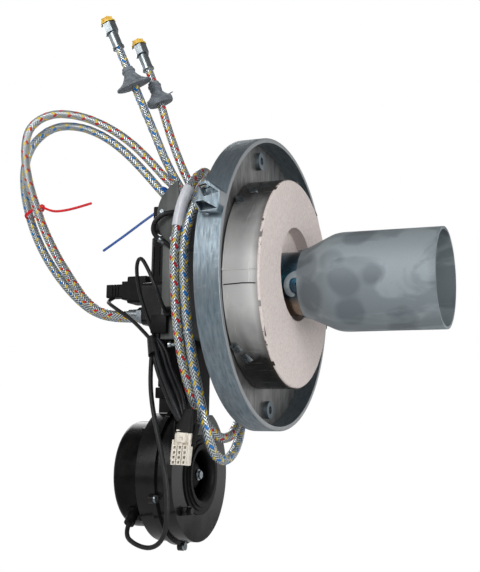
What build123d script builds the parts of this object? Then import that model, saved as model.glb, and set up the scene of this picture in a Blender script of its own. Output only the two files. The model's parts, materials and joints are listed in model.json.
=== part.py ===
"""Blue-flame burner unit on a round boiler door: blower below, pump behind, two braided fuel hoses.

Millimetres. +X runs along the flame tube into the boiler, +Z is up, and the origin is the centre of the
four door bolts, on the outer face of the door.
"""
from build123d import *
from math import atan2, cos, degrees, pi, radians, sin, sqrt, tan
import os

os.makedirs("parts", exist_ok=True)

# ---- clearances
fit = 0.05          # radial clearance of a shaft in its bearing
gap = 0.3           # clearance between pieces that only lie beside each other

# ---- door
door_half_y = 175.0
door_half_z = 165.0
door_depth = 28.0
door_floor = 5.0
door_wall = 5.0
door_bolt_circle = 142.0
door_bolt_count = 4
door_bolt_turn = 97.6   # degrees from +Y to the first bolt
door_bolt_r = 4.5
boss_r = 10.0
boss_h = 6.0
lug_t = 6.0
lug_w = 22.0
lug_reach = 26.0
lug_pin_r = 5.0
lug_z = (70.0, 94.0)    # middle of each ear

# ---- insulation block and its band
block_r = 117.0
block_back = door_floor + 2.0
block_front = 48.0
block_hole_r = 53.0
block_hole_z = 11.0
band_t = 0.8
band_front = block_front - 2.5

# ---- flame tube and mixing tube
mix_r = 36.0
mix_t = 1.2
mix_front = 76.0
mix_back = -14.0
flame_r = 55.3
flame_t = 3.0
flame_neck_r = mix_r + gap + flame_t
flame_back = 61.0
flame_shoulder = 104.0
flame_front = 217.0
hook_count = 3
hook_reach = 19.0
hook_w = 5.0
hook_pin_r = 2.2

# ---- nozzle line inside
line_r = 8.0
nozzle_r = 7.0
electrode_r = 3.5
electrode_y = 15.0
disc_x = 18.0
disc_t = 1.5

# ---- air housing behind the door
housing_half_y = 51.0
housing_top = 110.0
housing_bottom = -64.0
housing_wall = 4.0
housing_back = -92.0
cover_t = 4.0
flange_t = 6.0
flange_grow = 9.0

# ---- blower
fan_z = -215.0
fan_r = 75.0
fan_wall = 3.0
fan_front = -66.0
fan_back = -110.0
inlet_r = 27.0
inlet_lip = 5.0
wheel_r = 64.0
wheel_in_r = 45.0
wheel_w = 28.0
wheel_t = 1.5
blade_count = 32
blade_t = 1.0
hub_r = 24.0
hub_nose = 3.0          # from the tip of the hub back to the inlet plane
shaft_r = 4.0
wheel_bore = 16.0
can_r = 60.0
can_back = -148.0
can_wall = 2.5
rotor_r = 34.0
bearing_r = 11.0
bearing_w = 7.0
seat_l = 5.0            # bearing seat, behind the back shell
winding_gap = 2.5       # from the rotor to the parts at its two ends

# ---- duct between blower and air housing
duct_half_x = 18.0
duct_half_y = 30.0
duct_wall = 3.0

# ---- pump group behind the housing
pump_face = -134.0
pump_half_y = 27.0
pump_z = (-44.0, 6.0)
motor_r = 19.0
motor_top = 62.0
motor_cap = 7.0
filter_z = -66.0
filter_r = 9.0
coil_half_y = 15.0
coil_half_z = 16.0
coil_l = 24.0
plug_l = 32.0
valve_r = 4.0
valve_l = 14.0
valve_lift = 2.0

# ---- hoses and what is on them
hose_r = 5.5
sleeve_r = 7.0
sleeve_l = 20.0
nut_af = 17.0           # across the flats
nut_l = 14.0
stem_r = 4.0
port_y = 13.0
port_z = -31.0
port_l = 20.0

# ---- cables
cable_r = 2.2
tail_r = 2.6
loom_r = 5.0


# ---- helpers
def x_rod(r, x0, x1, y=0.0, z=0.0):
    return Pos((x0 + x1) / 2, y, z) * Rot(0, 90, 0) * Cylinder(r, x1 - x0)


def x_tube(r, wall, x0, x1, y=0.0, z=0.0):
    return x_rod(r, x0, x1, y, z) - x_rod(r - wall, x0 - 1, x1 + 1, y, z)


def z_rod(r, z0, z1, x=0.0, y=0.0):
    return Pos(x, y, (z0 + z1) / 2) * Cylinder(r, z1 - z0)


def block(x0, x1, y0, y1, z0, z1):
    middle = Pos((x0 + x1) / 2, (y0 + y1) / 2, (z0 + z1) / 2)
    return middle * Box(x1 - x0, y1 - y0, z1 - z0)


def slab(outline, x0, x1):
    """An outline drawn in Y and Z, as thick as x0 to x1."""
    return extrude(Plane.YZ.offset(x0) * outline, amount=x1 - x0)


def ring_places(radius, count, turn=0.0):
    return [(radius * cos(radians(turn + 360 * i / count)), radius * sin(radians(turn + 360 * i / count)))
            for i in range(count)]


def save(name, *shapes):
    solids = [s for shape in shapes for s in shape.solids()]
    export_step(solids[0] if len(solids) == 1 else Compound(solids), f"parts/{name}.step")


def hex_head(across, height):
    return extrude(RegularPolygon(across / 2, 6, major_radius=False), amount=height)


# ---- door
def door():
    dish = slab(Ellipse(door_half_y, door_half_z), 0, door_depth)
    hollow = slab(Ellipse(door_half_y - door_wall, door_half_z - door_wall), door_floor, door_depth + 1)
    body = dish - hollow
    rim = body.edges().filter_by(GeomType.ELLIPSE).group_by(Axis.X)[-1]
    body = fillet(rim, 1.0)
    for y, z in ring_places(door_bolt_circle, door_bolt_count, door_bolt_turn):
        body += x_rod(boss_r, door_floor - 1, door_floor + boss_h, y, z)
    for z in lug_z:
        body += ear(z)
    for y, z in ring_places(door_bolt_circle, door_bolt_count, door_bolt_turn):
        body -= x_rod(door_bolt_r, -1, door_floor + boss_h + 1, y, z)
    for y, z in cover_bolts:
        body -= x_rod(screw_r, -1, door_floor + 1, y, z)
    return body - x_rod(mix_r + gap, -1, door_floor + 1)


def rim_y(z):
    """Where the outside of the door lies at this height, on the hinge side."""
    return -door_half_y * sqrt(1 - (z / door_half_z) ** 2)


lug_pin = (door_depth / 2 - 6.0, rim_y(sum(lug_z) / 2) - lug_reach + lug_w / 2)


def ear(z):
    x, y = lug_pin
    root = rim_y(z) + door_wall / 2
    arm = block(x - lug_w / 2, x + lug_w / 2, y, root, z - lug_t / 2, z + lug_t / 2)
    tip = z_rod(lug_w / 2, z - lug_t / 2, z + lug_t / 2, x, y)
    return arm + tip - z_rod(lug_pin_r, z - lug_t, z + lug_t, x, y)


# ---- insulation
def insulation():
    body = x_rod(block_r, block_back, block_front)
    body = fillet(body.edges().filter_by(GeomType.CIRCLE).group_by(Axis.X)[-1], 2.0)
    deep = block_front - 14.0
    body -= x_rod(block_hole_r, deep, block_front + 1, 0, block_hole_z)
    return body - x_rod(mix_r + gap, block_back - 1, deep + 1)


def band():
    """Sheet steel strip round the block, with its seam on the hinge side and small tabs turned over the face."""
    r_in = block_r + gap / 3
    body = x_tube(r_in + band_t, band_t, block_back, band_front)
    seam = block(block_back, band_front, -r_in - band_t - 1.6, -r_in - band_t / 2, -1.2, 1.2)
    body += seam
    for y, z in ring_places(r_in + band_t / 2, 10, 18.0):
        angle = degrees(atan2(z, y))
        tab = Rot(angle, 0, 0) * block(band_front - 1, block_front + gap, r_in, r_in + band_t, -3, 3)
        body += tab
    return body


# ---- flame tube and mixing tube
def flame_tube():
    """Silicon carbide tube: a beaded neck, a cone with a rounded shoulder and a long straight mouth."""
    neck, mouth = flame_neck_r, flame_r
    with BuildSketch(Plane.XY) as sketch:
        with BuildLine():
            Polyline((flame_back, neck - flame_t), (flame_back, neck), (flame_back + 5, neck + 1.0),
                     (flame_shoulder - 10, mouth - 2.6))
            Spline((flame_shoulder - 10, mouth - 2.6), (flame_shoulder + 6, mouth),
                   tangents=((1, 0.42), (1, 0)))
            Polyline((flame_shoulder + 6, mouth), (flame_front, mouth), (flame_front, mouth - flame_t),
                     (flame_shoulder + 6, mouth - flame_t))
            Spline((flame_shoulder + 6, mouth - flame_t), (flame_shoulder - 10, mouth - 2.6 - flame_t),
                   tangents=((-1, 0), (-1, -0.42)))
            Polyline((flame_shoulder - 10, mouth - 2.6 - flame_t), (flame_back + 5, neck - flame_t),
                     (flame_back, neck - flame_t))
        make_face()
    body = revolve(sketch.sketch, axis=Axis.X)
    for i in range(hook_count):
        body += Rot(360 * i / hook_count, 0, 0) * hook()
    return body


def hook():
    """A bayonet hook cut from a collar: an arm that leaves the neck and curls round the pin."""
    tip_x = flame_back - hook_reach
    shell = x_tube(flame_neck_r, flame_t - gap, tip_x, flame_back + 3)
    with BuildSketch(Plane.XZ.offset(flame_neck_r)) as sketch:
        with BuildLine():
            FilletPolyline((flame_back + 2, 13), (tip_x + hook_w / 2, 8), (tip_x + hook_w / 2, -9),
                           (tip_x + hook_w / 2 + 9, -9), radius=4.4)
            offset(amount=hook_w / 2)
        make_face()
    outline = extrude(sketch.sketch, amount=12, both=True)
    return shell & outline


def mixing_tube():
    body = x_tube(mix_r, mix_t, mix_back, mix_front)
    collar = x_tube(mix_r + 9, 9 + mix_t / 2, -2, 0)
    body += collar
    for i in range(hook_count):
        pin = Pos(flame_back - hook_reach + hook_w + 4.5, -mix_r - 1.2, 0) * Rot(90, 0, 0)
        body += Rot(360 * i / hook_count, 0, 0) * (pin * Cylinder(hook_pin_r, 4.0))
    return body


def mixing_disc():
    body = x_rod(mix_r - mix_t - gap, disc_x, disc_x + disc_t) - x_rod(nozzle_r + 5, disc_x - 1, disc_x + disc_t + 1)
    for y, z in ring_places(23.0, 6, 30.0):
        body -= x_rod(5.0, disc_x - 1, disc_x + disc_t + 1, y, z)
    for side in (-1, 1):
        body -= x_rod(electrode_r + gap, disc_x - 1, disc_x + disc_t + 1, side * electrode_y, -6.0)
    return body


def nozzle_line():
    body = x_rod(line_r, housing_back + 8, -24)
    body += x_rod(line_r - 2, -25, 0)
    return body - x_rod(2.0, housing_back + 7, 1)


def nozzle():
    body = x_rod(nozzle_r, 0, 9)
    cone = Pos(11.5, 0, 0) * Rot(0, 90, 0) * Cone(nozzle_r - 1, 2.5, 5)
    return body + cone - x_rod(0.8, -1, 15)


def electrodes():
    made = []
    for side in (-1, 1):
        y = side * electrode_y
        insulator = x_rod(electrode_r, -52, 30, y, -6.0)
        wire = x_rod(1.2, 30, 40, y, -6.0)
        made += [insulator + wire]
    return made


def electrode_clamp():
    bar = block(-30, -26, -electrode_y - 7, electrode_y + 7, -13, 12)
    for side in (-1, 1):
        bar -= x_rod(electrode_r + fit, -31, -25, side * electrode_y, -6.0)
    return bar - x_rod(line_r + fit, -31, -25)


# ---- air housing
def housing_outline(grow=0.0):
    """Round-topped outline, straight sided, flat at the foot."""
    half = housing_half_y + grow
    crown = housing_top - housing_half_y
    straight = Pos(0, (crown + housing_bottom - grow) / 2) * Rectangle(2 * half, crown - housing_bottom + grow)
    return straight + Pos(0, crown) * Circle(half)


screw_r = 2.5
crown_z = housing_top - housing_half_y
cover_bolts = [(s * (housing_half_y + 5.2), z) for s in (-1, 1) for z in (-50.0, 8.0, crown_z)]


def air_housing():
    body = slab(housing_outline(), housing_back, 0)
    body += slab(housing_outline(flange_grow), -flange_t, 0)
    body -= slab(housing_outline(-housing_wall), housing_back - 1, 1)
    body -= block(duct_x - duct_half_x + duct_wall, duct_x + duct_half_x - duct_wall,
                  -duct_half_y + duct_wall, duct_half_y - duct_wall, housing_bottom - 20, housing_bottom + 10)
    for y, z in cover_bolts:
        body -= x_rod(screw_r, -flange_t - 1, 1, y, z)
    return body


def back_cover():
    body = slab(housing_outline(), housing_back - cover_t, housing_back)
    inner = slab(housing_outline(-housing_wall - gap), housing_back, housing_back + 5)
    inner -= slab(housing_outline(-housing_wall - 3), housing_back - 1, housing_back + 6)
    return body + inner


duct_x = fan_front - (fan_front - fan_back) / 2


def duct():
    """Rectangular neck that carries the air up from the scroll."""
    top = housing_bottom
    low = fan_z + fan_r * 0.90
    body = block(duct_x - duct_half_x, duct_x + duct_half_x, -duct_half_y, duct_half_y, low, top)
    body += block(duct_x - duct_half_x - 7, duct_x + duct_half_x + 7, -duct_half_y - 7, duct_half_y + 7, top - 5, top)
    body -= block(duct_x - duct_half_x + duct_wall, duct_x + duct_half_x - duct_wall,
                  -duct_half_y + duct_wall, duct_half_y - duct_wall, low - 1, top + 1)
    return body - x_rod(fan_r + gap / 3, fan_back - 20, fan_front + 20, 0, fan_z)


# ---- blower
split_x = (fan_front + fan_back) / 2
seam_h = 4.0
lug_places = ring_places(fan_r + 5.4, 5, -90.0 - 72.0)


def fan_drum(x0, x1, plate_x0, plate_x1, seam_x0, seam_x1):
    body = x_tube(fan_r, fan_wall, x0, x1, 0, fan_z) + x_rod(fan_r, plate_x0, plate_x1, 0, fan_z)
    body += x_tube(fan_r + seam_h, seam_h + 1, seam_x0, seam_x1, 0, fan_z)
    for y, z in lug_places:
        if z < 40:
            body += x_rod(5.0, seam_x0, seam_x1, y, fan_z + z) - x_rod(screw_r, x0 - 1, x1 + 1, y, fan_z + z)
    for y, z in lug_places:
        body -= x_rod(screw_r, seam_x0 - 1, seam_x1 + 1, y, fan_z + z)
    body -= block(x0 - 1, x1 + 1, -duct_half_y - gap, duct_half_y + gap,
                  fan_z + fan_r * 0.90 - gap, fan_z + fan_r + 20)
    return body


def fan_shell_back():
    body = fan_drum(fan_back, split_x, fan_back, fan_back + fan_wall, split_x - 3, split_x)
    body += x_rod(bearing_r + 4, fan_back - seat_l, fan_back + fan_wall, 0, fan_z)
    return body - x_rod(bearing_r, fan_back - seat_l - 1, fan_back + fan_wall + 1, 0, fan_z)


def fan_shell_front():
    body = fan_drum(split_x, fan_front, fan_front - fan_wall, fan_front, split_x, split_x + 3)
    return body - x_rod(inlet_r + 12, fan_front - fan_wall - 1, fan_front + 1, 0, fan_z)


def inlet_nozzle():
    """Stepped inlet ring with a bell mouth that reaches into the eye of the wheel."""
    r = inlet_r
    with BuildSketch(Plane.XY) as sketch:
        with BuildLine():
            Polyline((fan_front - 9, r + 4), (fan_front - 9, r + 2), (fan_front - 3, r))
            Spline((fan_front - 3, r), (fan_front + inlet_lip, r + 5), tangents=((1, 0), (0.4, 1)))
            Polyline((fan_front + inlet_lip, r + 5), (fan_front + inlet_lip, r + 9), (fan_front + 3, r + 9),
                     (fan_front + 3, r + 13), (fan_front + 1.5, r + 13), (fan_front + 1.5, r + 18),
                     (fan_front, r + 18), (fan_front, r + 10), (fan_front - 9, r + 4))
        make_face()
    return Pos(0, 0, fan_z) * revolve(sketch.sketch, axis=Axis.X)


wheel_back = fan_back + fan_wall + 3.0
wheel_front = wheel_back + wheel_w


def fan_wheel():
    """Back plate of the wheel and its domed hub, whose nose comes forward into the inlet."""
    base = wheel_back + wheel_t
    tip = fan_front - hub_nose
    body = x_rod(wheel_r, wheel_back, base)
    with BuildSketch(Plane.XY) as sketch:
        with BuildLine():
            Polyline((wheel_back, 0), (tip, 0))
            Spline((tip, 0), (base, hub_r), tangents=((0, 1), (-1, 0)))
            Polyline((base, hub_r), (wheel_back, hub_r), (wheel_back, 0))
        make_face()
    body += revolve(sketch.sketch, axis=Axis.X)
    body -= x_rod(shaft_r, wheel_back - 1, wheel_back + wheel_bore)
    return Pos(0, 0, fan_z) * body


def fan_blades():
    """Forward-curved blades, each standing between the back plate and the shroud ring."""
    middle = (wheel_back + wheel_front) / 2
    with BuildSketch(Plane.YZ.offset(middle)) as blade:
        with BuildLine():
            ThreePointArc((wheel_in_r + 0.5, 0), ((wheel_in_r + wheel_r) / 2, -3.4), (wheel_r - 0.5, 3.0))
            offset(amount=blade_t / 2)
        make_face()
    one = extrude(blade.sketch, amount=wheel_w / 2 - wheel_t, both=True)
    return [Pos(0, 0, fan_z) * Rot(360 * i / blade_count, 0, 0) * one for i in range(blade_count)]


def fan_shroud():
    return x_tube(wheel_r, wheel_r - wheel_in_r, wheel_front - wheel_t, wheel_front, 0, fan_z)


def motor_shaft():
    return x_rod(shaft_r, can_back + can_wall + 3, wheel_back + wheel_bore, 0, fan_z)


stator_in = rotor_r + 1.0


def motor_rotor():
    x0, x1 = can_back + can_wall + bearing_w + winding_gap, fan_back - seat_l - winding_gap
    body = x_rod(rotor_r, x0, x1, 0, fan_z)
    body -= x_rod(shaft_r, can_back, fan_back, 0, fan_z)
    for y, z in ring_places(rotor_r, 8):
        body -= x_rod(2.0, can_back, fan_back, y, fan_z + z)
    return body


def motor_stator():
    outer = can_r - can_wall - 0.1
    x0, x1 = can_back + can_wall + bearing_w + winding_gap, fan_back - seat_l
    body = x_tube(outer, outer - stator_in, x0, x1, 0, fan_z)
    for y, z in ring_places((stator_in + can_r) / 2, 6, 30):
        body -= x_rod(5.0, can_back, fan_back, y, fan_z + z)
    return body


def motor_can():
    body = x_rod(can_r, can_back, fan_back, 0, fan_z)
    body = fillet(body.edges().filter_by(GeomType.CIRCLE).group_by(Axis.X)[0], 7.0)
    body -= x_rod(can_r - can_wall, can_back + can_wall, fan_back + 1, 0, fan_z)
    body += x_tube(can_r + 4, 5, fan_back - 3, fan_back, 0, fan_z)
    body += x_rod(bearing_r + 3, can_back + 1, can_back + can_wall + bearing_w, 0, fan_z)
    body -= x_rod(bearing_r, can_back + can_wall, can_back + can_wall + bearing_w + 1, 0, fan_z)
    for y, z in can_lugs:
        body += x_rod(5.0, fan_back - 6, fan_back, y, fan_z + z)
    for y, z in can_lugs:
        body -= x_rod(screw_r, fan_back - 7, fan_back + 1, y, fan_z + z)
    return body


can_lugs = ring_places(can_r + 6.0, 4, 45.0)


def bearings():
    seats = (can_back + can_wall, fan_back + fan_wall - bearing_w)
    return [x_tube(bearing_r, bearing_r - shaft_r - fit, x, x + bearing_w, 0, fan_z) for x in seats]


def pan_screw(x, y, z, length, way):
    """A screw along X whose head lies at x, with its shank to the side that way says."""
    head = x_rod(screw_r * 1.8, x, x - way * 2.6, y, z) if way < 0 else x_rod(screw_r * 1.8, x - 2.6, x, y, z)
    shank = x_rod(screw_r - 0.1, min(x, x + way * length), max(x, x + way * length), y, z)
    return head + shank


def cover_screws():
    return [pan_screw(-flange_t, y, z, flange_t + door_floor - 1, 1) for y, z in cover_bolts]


def blower_screws():
    made = [pan_screw(split_x + 3, y, fan_z + z, 6, -1) for y, z in lug_places if z < 40]
    return made


# ---- pump group
def pump_body():
    x1 = housing_back - cover_t
    body = block(pump_face, x1, -pump_half_y, pump_half_y, *pump_z)
    body = fillet(body.edges().filter_by(Axis.X), 6.0)
    for side in (-1, 1):
        body += x_rod(9.0, pump_face - 2, pump_face, side * port_y, port_z)
    body += x_rod(7.0, pump_face - 2, pump_face, 0, 0)
    body -= x_rod(valve_r + fit, pump_face - 3, pump_face + 12, 0, 0)
    for side in (-1, 1):
        body -= x_rod(stem_r, pump_face - 3, pump_face + 10, side * port_y, port_z)
    return body


motor_x = (pump_face + housing_back - cover_t) / 2


def pump_motor():
    body = z_rod(motor_r, pump_z[1], motor_top - motor_cap, motor_x)
    for i in range(12):
        turn = Pos(motor_x, 0, 0) * Rot(0, 0, 30 * i)
        if not 60 < (30 * i) % 360 + 60 < 181:
            body -= turn * block(motor_r - 1.2, motor_r + 1, -1.2, 1.2, pump_z[1] + 8, motor_top - motor_cap - 6)
    return body


def pump_motor_cap():
    body = z_rod(motor_r, motor_top - motor_cap, motor_top, motor_x)
    return fillet(body.edges().filter_by(GeomType.CIRCLE).group_by(Axis.Z)[-1], 2.5)


def pump_filter():
    x = pump_face + filter_r + 2
    body = z_rod(filter_r, filter_z, pump_z[0], x)
    body = chamfer(body.edges().filter_by(GeomType.CIRCLE).group_by(Axis.Z)[0], 2.0)
    return body + Pos(x, 0, filter_z - 5) * hex_head(12.0, 5.0)


def coil():
    x1 = pump_face - 2
    body = block(x1 - coil_l, x1, -coil_half_y, coil_half_y, -coil_half_z, coil_half_z)
    body = fillet(body.edges().filter_by(Axis.X), 3.0)
    return body - x_rod(valve_r + 1.2, x1 - coil_l - 1, x1 + 1)


def valve_tube():
    x1 = pump_face - 2
    body = x_rod(valve_r + 1.2, x1 - coil_l, x1) - x_rod(valve_r + fit, x1 - coil_l + 2, x1 + 1)
    return body


def valve_plunger():
    return x_rod(valve_r, pump_face - 2 - valve_l, pump_face + 4)


def coil_plug():
    x1 = pump_face - 2 - coil_l
    body = block(x1 - 10, x1, -10, 10, -11, 11)
    body += block(x1 - plug_l, x1 - 10, -8, 8, -8, 8)
    body = fillet(body.edges().filter_by(Axis.X), 1.5)
    for x in (x1 - 15, x1 - 19, x1 - 23):
        body -= block(x - 1, x + 1, -9, 9, 7, 9) + block(x - 1, x + 1, -9, -7, -9, 9)
    return body


def fuel_pipe():
    """Pressure line from the pump's side into the nozzle line, through the back cover."""
    path = FilletPolyline((motor_x, pump_half_y, -12), (motor_x, pump_half_y + 14, -12),
                          (motor_x, pump_half_y + 14, 34), (motor_x + 12, pump_half_y + 2, 34),
                          (housing_back - cover_t, pump_half_y + 2, 34), radius=5.0)
    return sweep(Plane(origin=path @ 0, z_dir=path % 0) * Circle(2.5), path=path)


def spark_box():
    """Ignition transformer on the back cover, above the pump's motor."""
    x1 = housing_back - cover_t
    body = block(x1 - 26, x1, -26, 30, motor_top + 3, housing_top - 14)
    return fillet(body.edges().filter_by(Axis.X), 3.0)


# ---- hoses
red_route = [
    (pump_face - 2 - port_l, -port_y, port_z), (-188, -port_y, port_z), (-220, -8, -12), (-248, 2, 18),
    (-275, 10, 50), (-298, 16, 84), (-317, 22, 119), (-334, 27, 156), (-346, 32, 196), (-344, 38, 236),
    (-314, 46, 255), (-276, 54, 249), (-238, 60, 231), (-204, 66, 206), (-174, 69, 176), (-146, 70, 145),
    (-116, 60, 130), (-86, 34, 133), (-66, 0, 136), (-64, -38, 128), (-66, -66, 106),
    (-71, -78, 70), (-71, -79, 28), (-68, -79, -16), (-64, -79, -60), (-58, -78, -105),
    (-51, -71, -144), (-33, -48, -171), (-20, -20, -186), (-18, 12, -176), (-24, 40, -146),
    (-30, 60, -106), (-34, 68, -62), (-40, 72, -14), (-50, 78, 34), (-72, 84, 78),
    (-100, 86, 116), (-126, 86, 154), (-146, 86, 194), (-162, 86, 234), (-177, 86, 272),
    (-193, 85, 310),
]
blue_route = [
    (pump_face - 2 - port_l, port_y, port_z), (-190, port_y, port_z), (-224, 15, -20), (-256, 19, 6),
    (-286, 23, 37), (-311, 27, 71), (-331, 33, 107), (-346, 41, 145), (-356, 51, 184), (-348, 60, 220),
    (-320, 66, 240), (-284, 70, 236), (-250, 72, 220), (-218, 73, 197), (-188, 73, 168), (-160, 72, 137),
    (-134, 64, 114), (-104, 48, 112), (-76, 26, 118), (-52, 0, 120), (-48, -36, 114),
    (-52, -65, 92), (-57, -79, 56), (-57, -80, 14), (-55, -80, -30), (-49, -80, -76),
    (-41, -79, -120), (-32, -72, -166), (-24, -52, -202), (-18, -20, -218), (-20, 16, -206),
    (-28, 50, -174), (-38, 72, -130), (-48, 82, -82), (-56, 88, -32), (-64, 92, 20),
    (-84, 96, 64), (-112, 98, 102), (-140, 92, 136), (-162, 80, 178), (-176, 70, 220),
    (-190, 62, 258), (-205, 57, 295), (-221, 53, 332),
]


def corner_radii(route):
    """The largest arc at each corner that its two runs leave room for."""
    points = [Vector(*p) for p in route]
    radii = []
    for before, here, after in zip(points, points[1:], points[2:]):
        turn = (here - before).get_angle(after - here)
        run = min((here - before).length, (after - here).length)
        radii.append(0.45 * run / tan(radians(turn) / 2))
    return radii


def tube(route, radius):
    radii = corner_radii(route)
    path = FilletPolyline(*route, radius=radii)
    made = sweep(Plane(origin=path @ 0, z_dir=path % 0) * Circle(radius), path=path)
    expected = pi * radius ** 2 * path.length
    print(f"cord length {path.length:.0f}, tightest {min(radii):.0f}, volume ratio {made.volume / expected:.4f}")
    return made


def end_plane(route):
    """A plane at the last point of a route, looking onward."""
    before, last = Vector(*route[-2]), Vector(*route[-1])
    return Plane(origin=last, z_dir=last - before)


def rod_on(plane, radius, z0, z1):
    return plane * z_rod(radius, z0, z1)


def crimp(route):
    """Pressed sleeve, stem and bead at the free end of a hose; the sleeve holds the hose's last stretch."""
    plane = end_plane(route)
    body = z_rod(sleeve_r, 0, sleeve_l) + z_rod(stem_r, sleeve_l, sleeve_l + 9)
    body += z_rod(sleeve_r + 1, 0, 2) + z_rod(sleeve_r - 1, sleeve_l, sleeve_l + 2)
    body += z_rod(stem_r + 2, sleeve_l + 8, sleeve_l + 10)
    return plane * body


def union_nut(route):
    """Swivel nut, held by the bead on the stem."""
    z0 = sleeve_l + 3.5
    body = Pos(0, 0, z0) * hex_head(nut_af, nut_l)
    body = chamfer(body.edges().group_by(Axis.Z)[-1], 0.8)
    body -= z_rod(stem_r + fit, z0 - 1, z0 + 4)
    body -= z_rod(stem_r + 2.3, z0 + 4, z0 + nut_l + 1)
    return end_plane(route) * body


def nut_cap(route):
    """Yellow dust plug: a winged head over a flange, its spigot inside the nut."""
    z0 = sleeve_l + 3.5 + nut_l
    body = z_rod(stem_r + 2.2, z0 - 6, z0) + z_rod(nut_af / 2 + 1.5, z0, z0 + 2)
    body += z_rod(nut_af / 2 - 2, z0 + 2, z0 + 8)
    for i in range(6):
        body += Rot(0, 0, 60 * i) * block(0, nut_af / 2 - 0.5, -1, 1, z0 + 2, z0 + 8)
    return end_plane(route) * body


def boot(place, way):
    """Rubber wall grommet: a tapered sleeve on a dished foot."""
    with BuildSketch(Plane.XZ) as sketch:
        with BuildLine():
            Polyline((hose_r + gap / 3, -8), (16, -8), (17, -2))
            Spline((17, -2), (11, 5), (8.2, 15), tangents=((-1, 0.35), (0, 1)))
            Polyline((8.2, 15), (8.8, 18), (hose_r + gap / 3, 18), (hose_r + gap / 3, -8))
        make_face()
    body = revolve(sketch.sketch, axis=Axis.Z)
    return Plane(origin=place, z_dir=way) * body


def port_nut(route):
    """Hose end at the pump: sleeve, nut and banjo stem in one pressed piece."""
    x = pump_face - 2
    _, y, z = route[0]
    body = x_rod(sleeve_r, x - port_l, x - 8, y, z) + x_rod(stem_r + 2, x - 8, x, y, z)
    nut = Pos(x - 8, y, z) * Rot(0, 90, 0) * hex_head(nut_af - 1, 6.5)
    return body + nut + x_rod(stem_r - fit, x, x + 8, y, z)


# ---- cables
gland_x, gland_z = -84.0, -34.0
boot_top = (-107.0, -50.0, -62.0)
boot_foot = (-99.0, -56.0, -82.0)
coil_lead_route = [(-184, -4, -8), (-184, -12, -17), (-177, -25, -25), (-161, -31, -35), (-144, -37, -43),
                   (-127, -43, -52), (-110.0, -50.0, -63.2)]
sensor_lead_route = [(gland_x, -housing_half_y - 10, gland_z), (-84, -74, gland_z), (-90, -82, -12),
                     (-102, -80, 12), (-117, -71, 25), (-127, -63, 8), (-123, -58, -15), (-113, -54, -38),
                     (-104.0, -50.0, -60.8)]
loom_route = [(-96.4, -56, -81), (-88, -64, -104), (-76, -74, -126), (-64, -84, -147), (-57, -90, -167)]
motor_lead_route = [(-104, -56, -84), (-104, -64, -106), (-98, -76, -134), (-88, -86, -164), (-78, -92, -196),
                    (-71, -94, -228), (-68, -93, -260), (-74, -89, -284), (-90, -82, -296), (-110, -75, -293),
                    (-127, -65.7, -280.7), (-127, -53.7, -268.7)]
motor_gland_turn = 225.0


def cable_gland():
    body = Pos(gland_x, -housing_half_y - 5, gland_z) * Rot(90, 0, 0) * Cylinder(5.0, 10)
    body += Pos(gland_x, -housing_half_y, gland_z) * Rot(90, 0, 0) * hex_head(12.0, 4.0)
    return body


def motor_gland():
    """Cable entry on the motor can, pointing down and to the hinge side."""
    x = -127.0
    body = z_rod(6.0, can_r - 1, can_r + 16, x) + z_rod(8.0, can_r - 1, can_r + 5, x)
    return Pos(0, 0, fan_z) * Rot(motor_gland_turn - 90, 0, 0) * body - x_rod(can_r, x - 20, x + 20, 0, fan_z)


def loom_boot():
    """Heat-shrunk branch sleeve where the leads join the loom."""
    top, foot = Vector(*boot_top), Vector(*boot_foot)
    body = Cone(8.5, 6.0, (foot - top).length)
    return Plane(origin=(top + foot) * 0.5, z_dir=top - foot) * body


def loom_connector():
    """Twelve-way plug housing: three columns of four sockets and a latch at the top."""
    w, t, h, pitch = 19.0, 12.0, 36.0, 6.3
    body = Box(w, t, h)
    body = fillet(body.edges().filter_by(Axis.Y), 1.5)
    body += Pos(0, -t / 2 - 1, h / 2 - 6.5) * Box(w * 0.55, 2, 11)
    for column in (-1, 0, 1):
        for row in range(4):
            z = h / 2 - 15.5 - row * (pitch - 0.6)
            body -= Pos(column * pitch * 0.93, -t / 2, z) * Box(3.6, 9, 3.6)
    for column in (-0.5, 0.5):
        body -= Pos(column * pitch * 0.93 * 1.0, -t / 2, -h / 2 + 8) * Box(1.0, 4, 24)
    return Pos(-50, -92, -185) * Rot(0, -8, 0) * body


# ---- label
def hose_label():
    upper, lower = Vector(*red_route[20]), Vector(*red_route[21])
    middle = (upper + lower) * 0.5
    half = (upper - lower).length / 2
    plane = Plane(origin=middle, z_dir=lower - upper)
    return plane * (z_rod(hose_r + 1.0, -half, half) - z_rod(hose_r + 0.4, -half - 1, half + 1))


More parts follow.
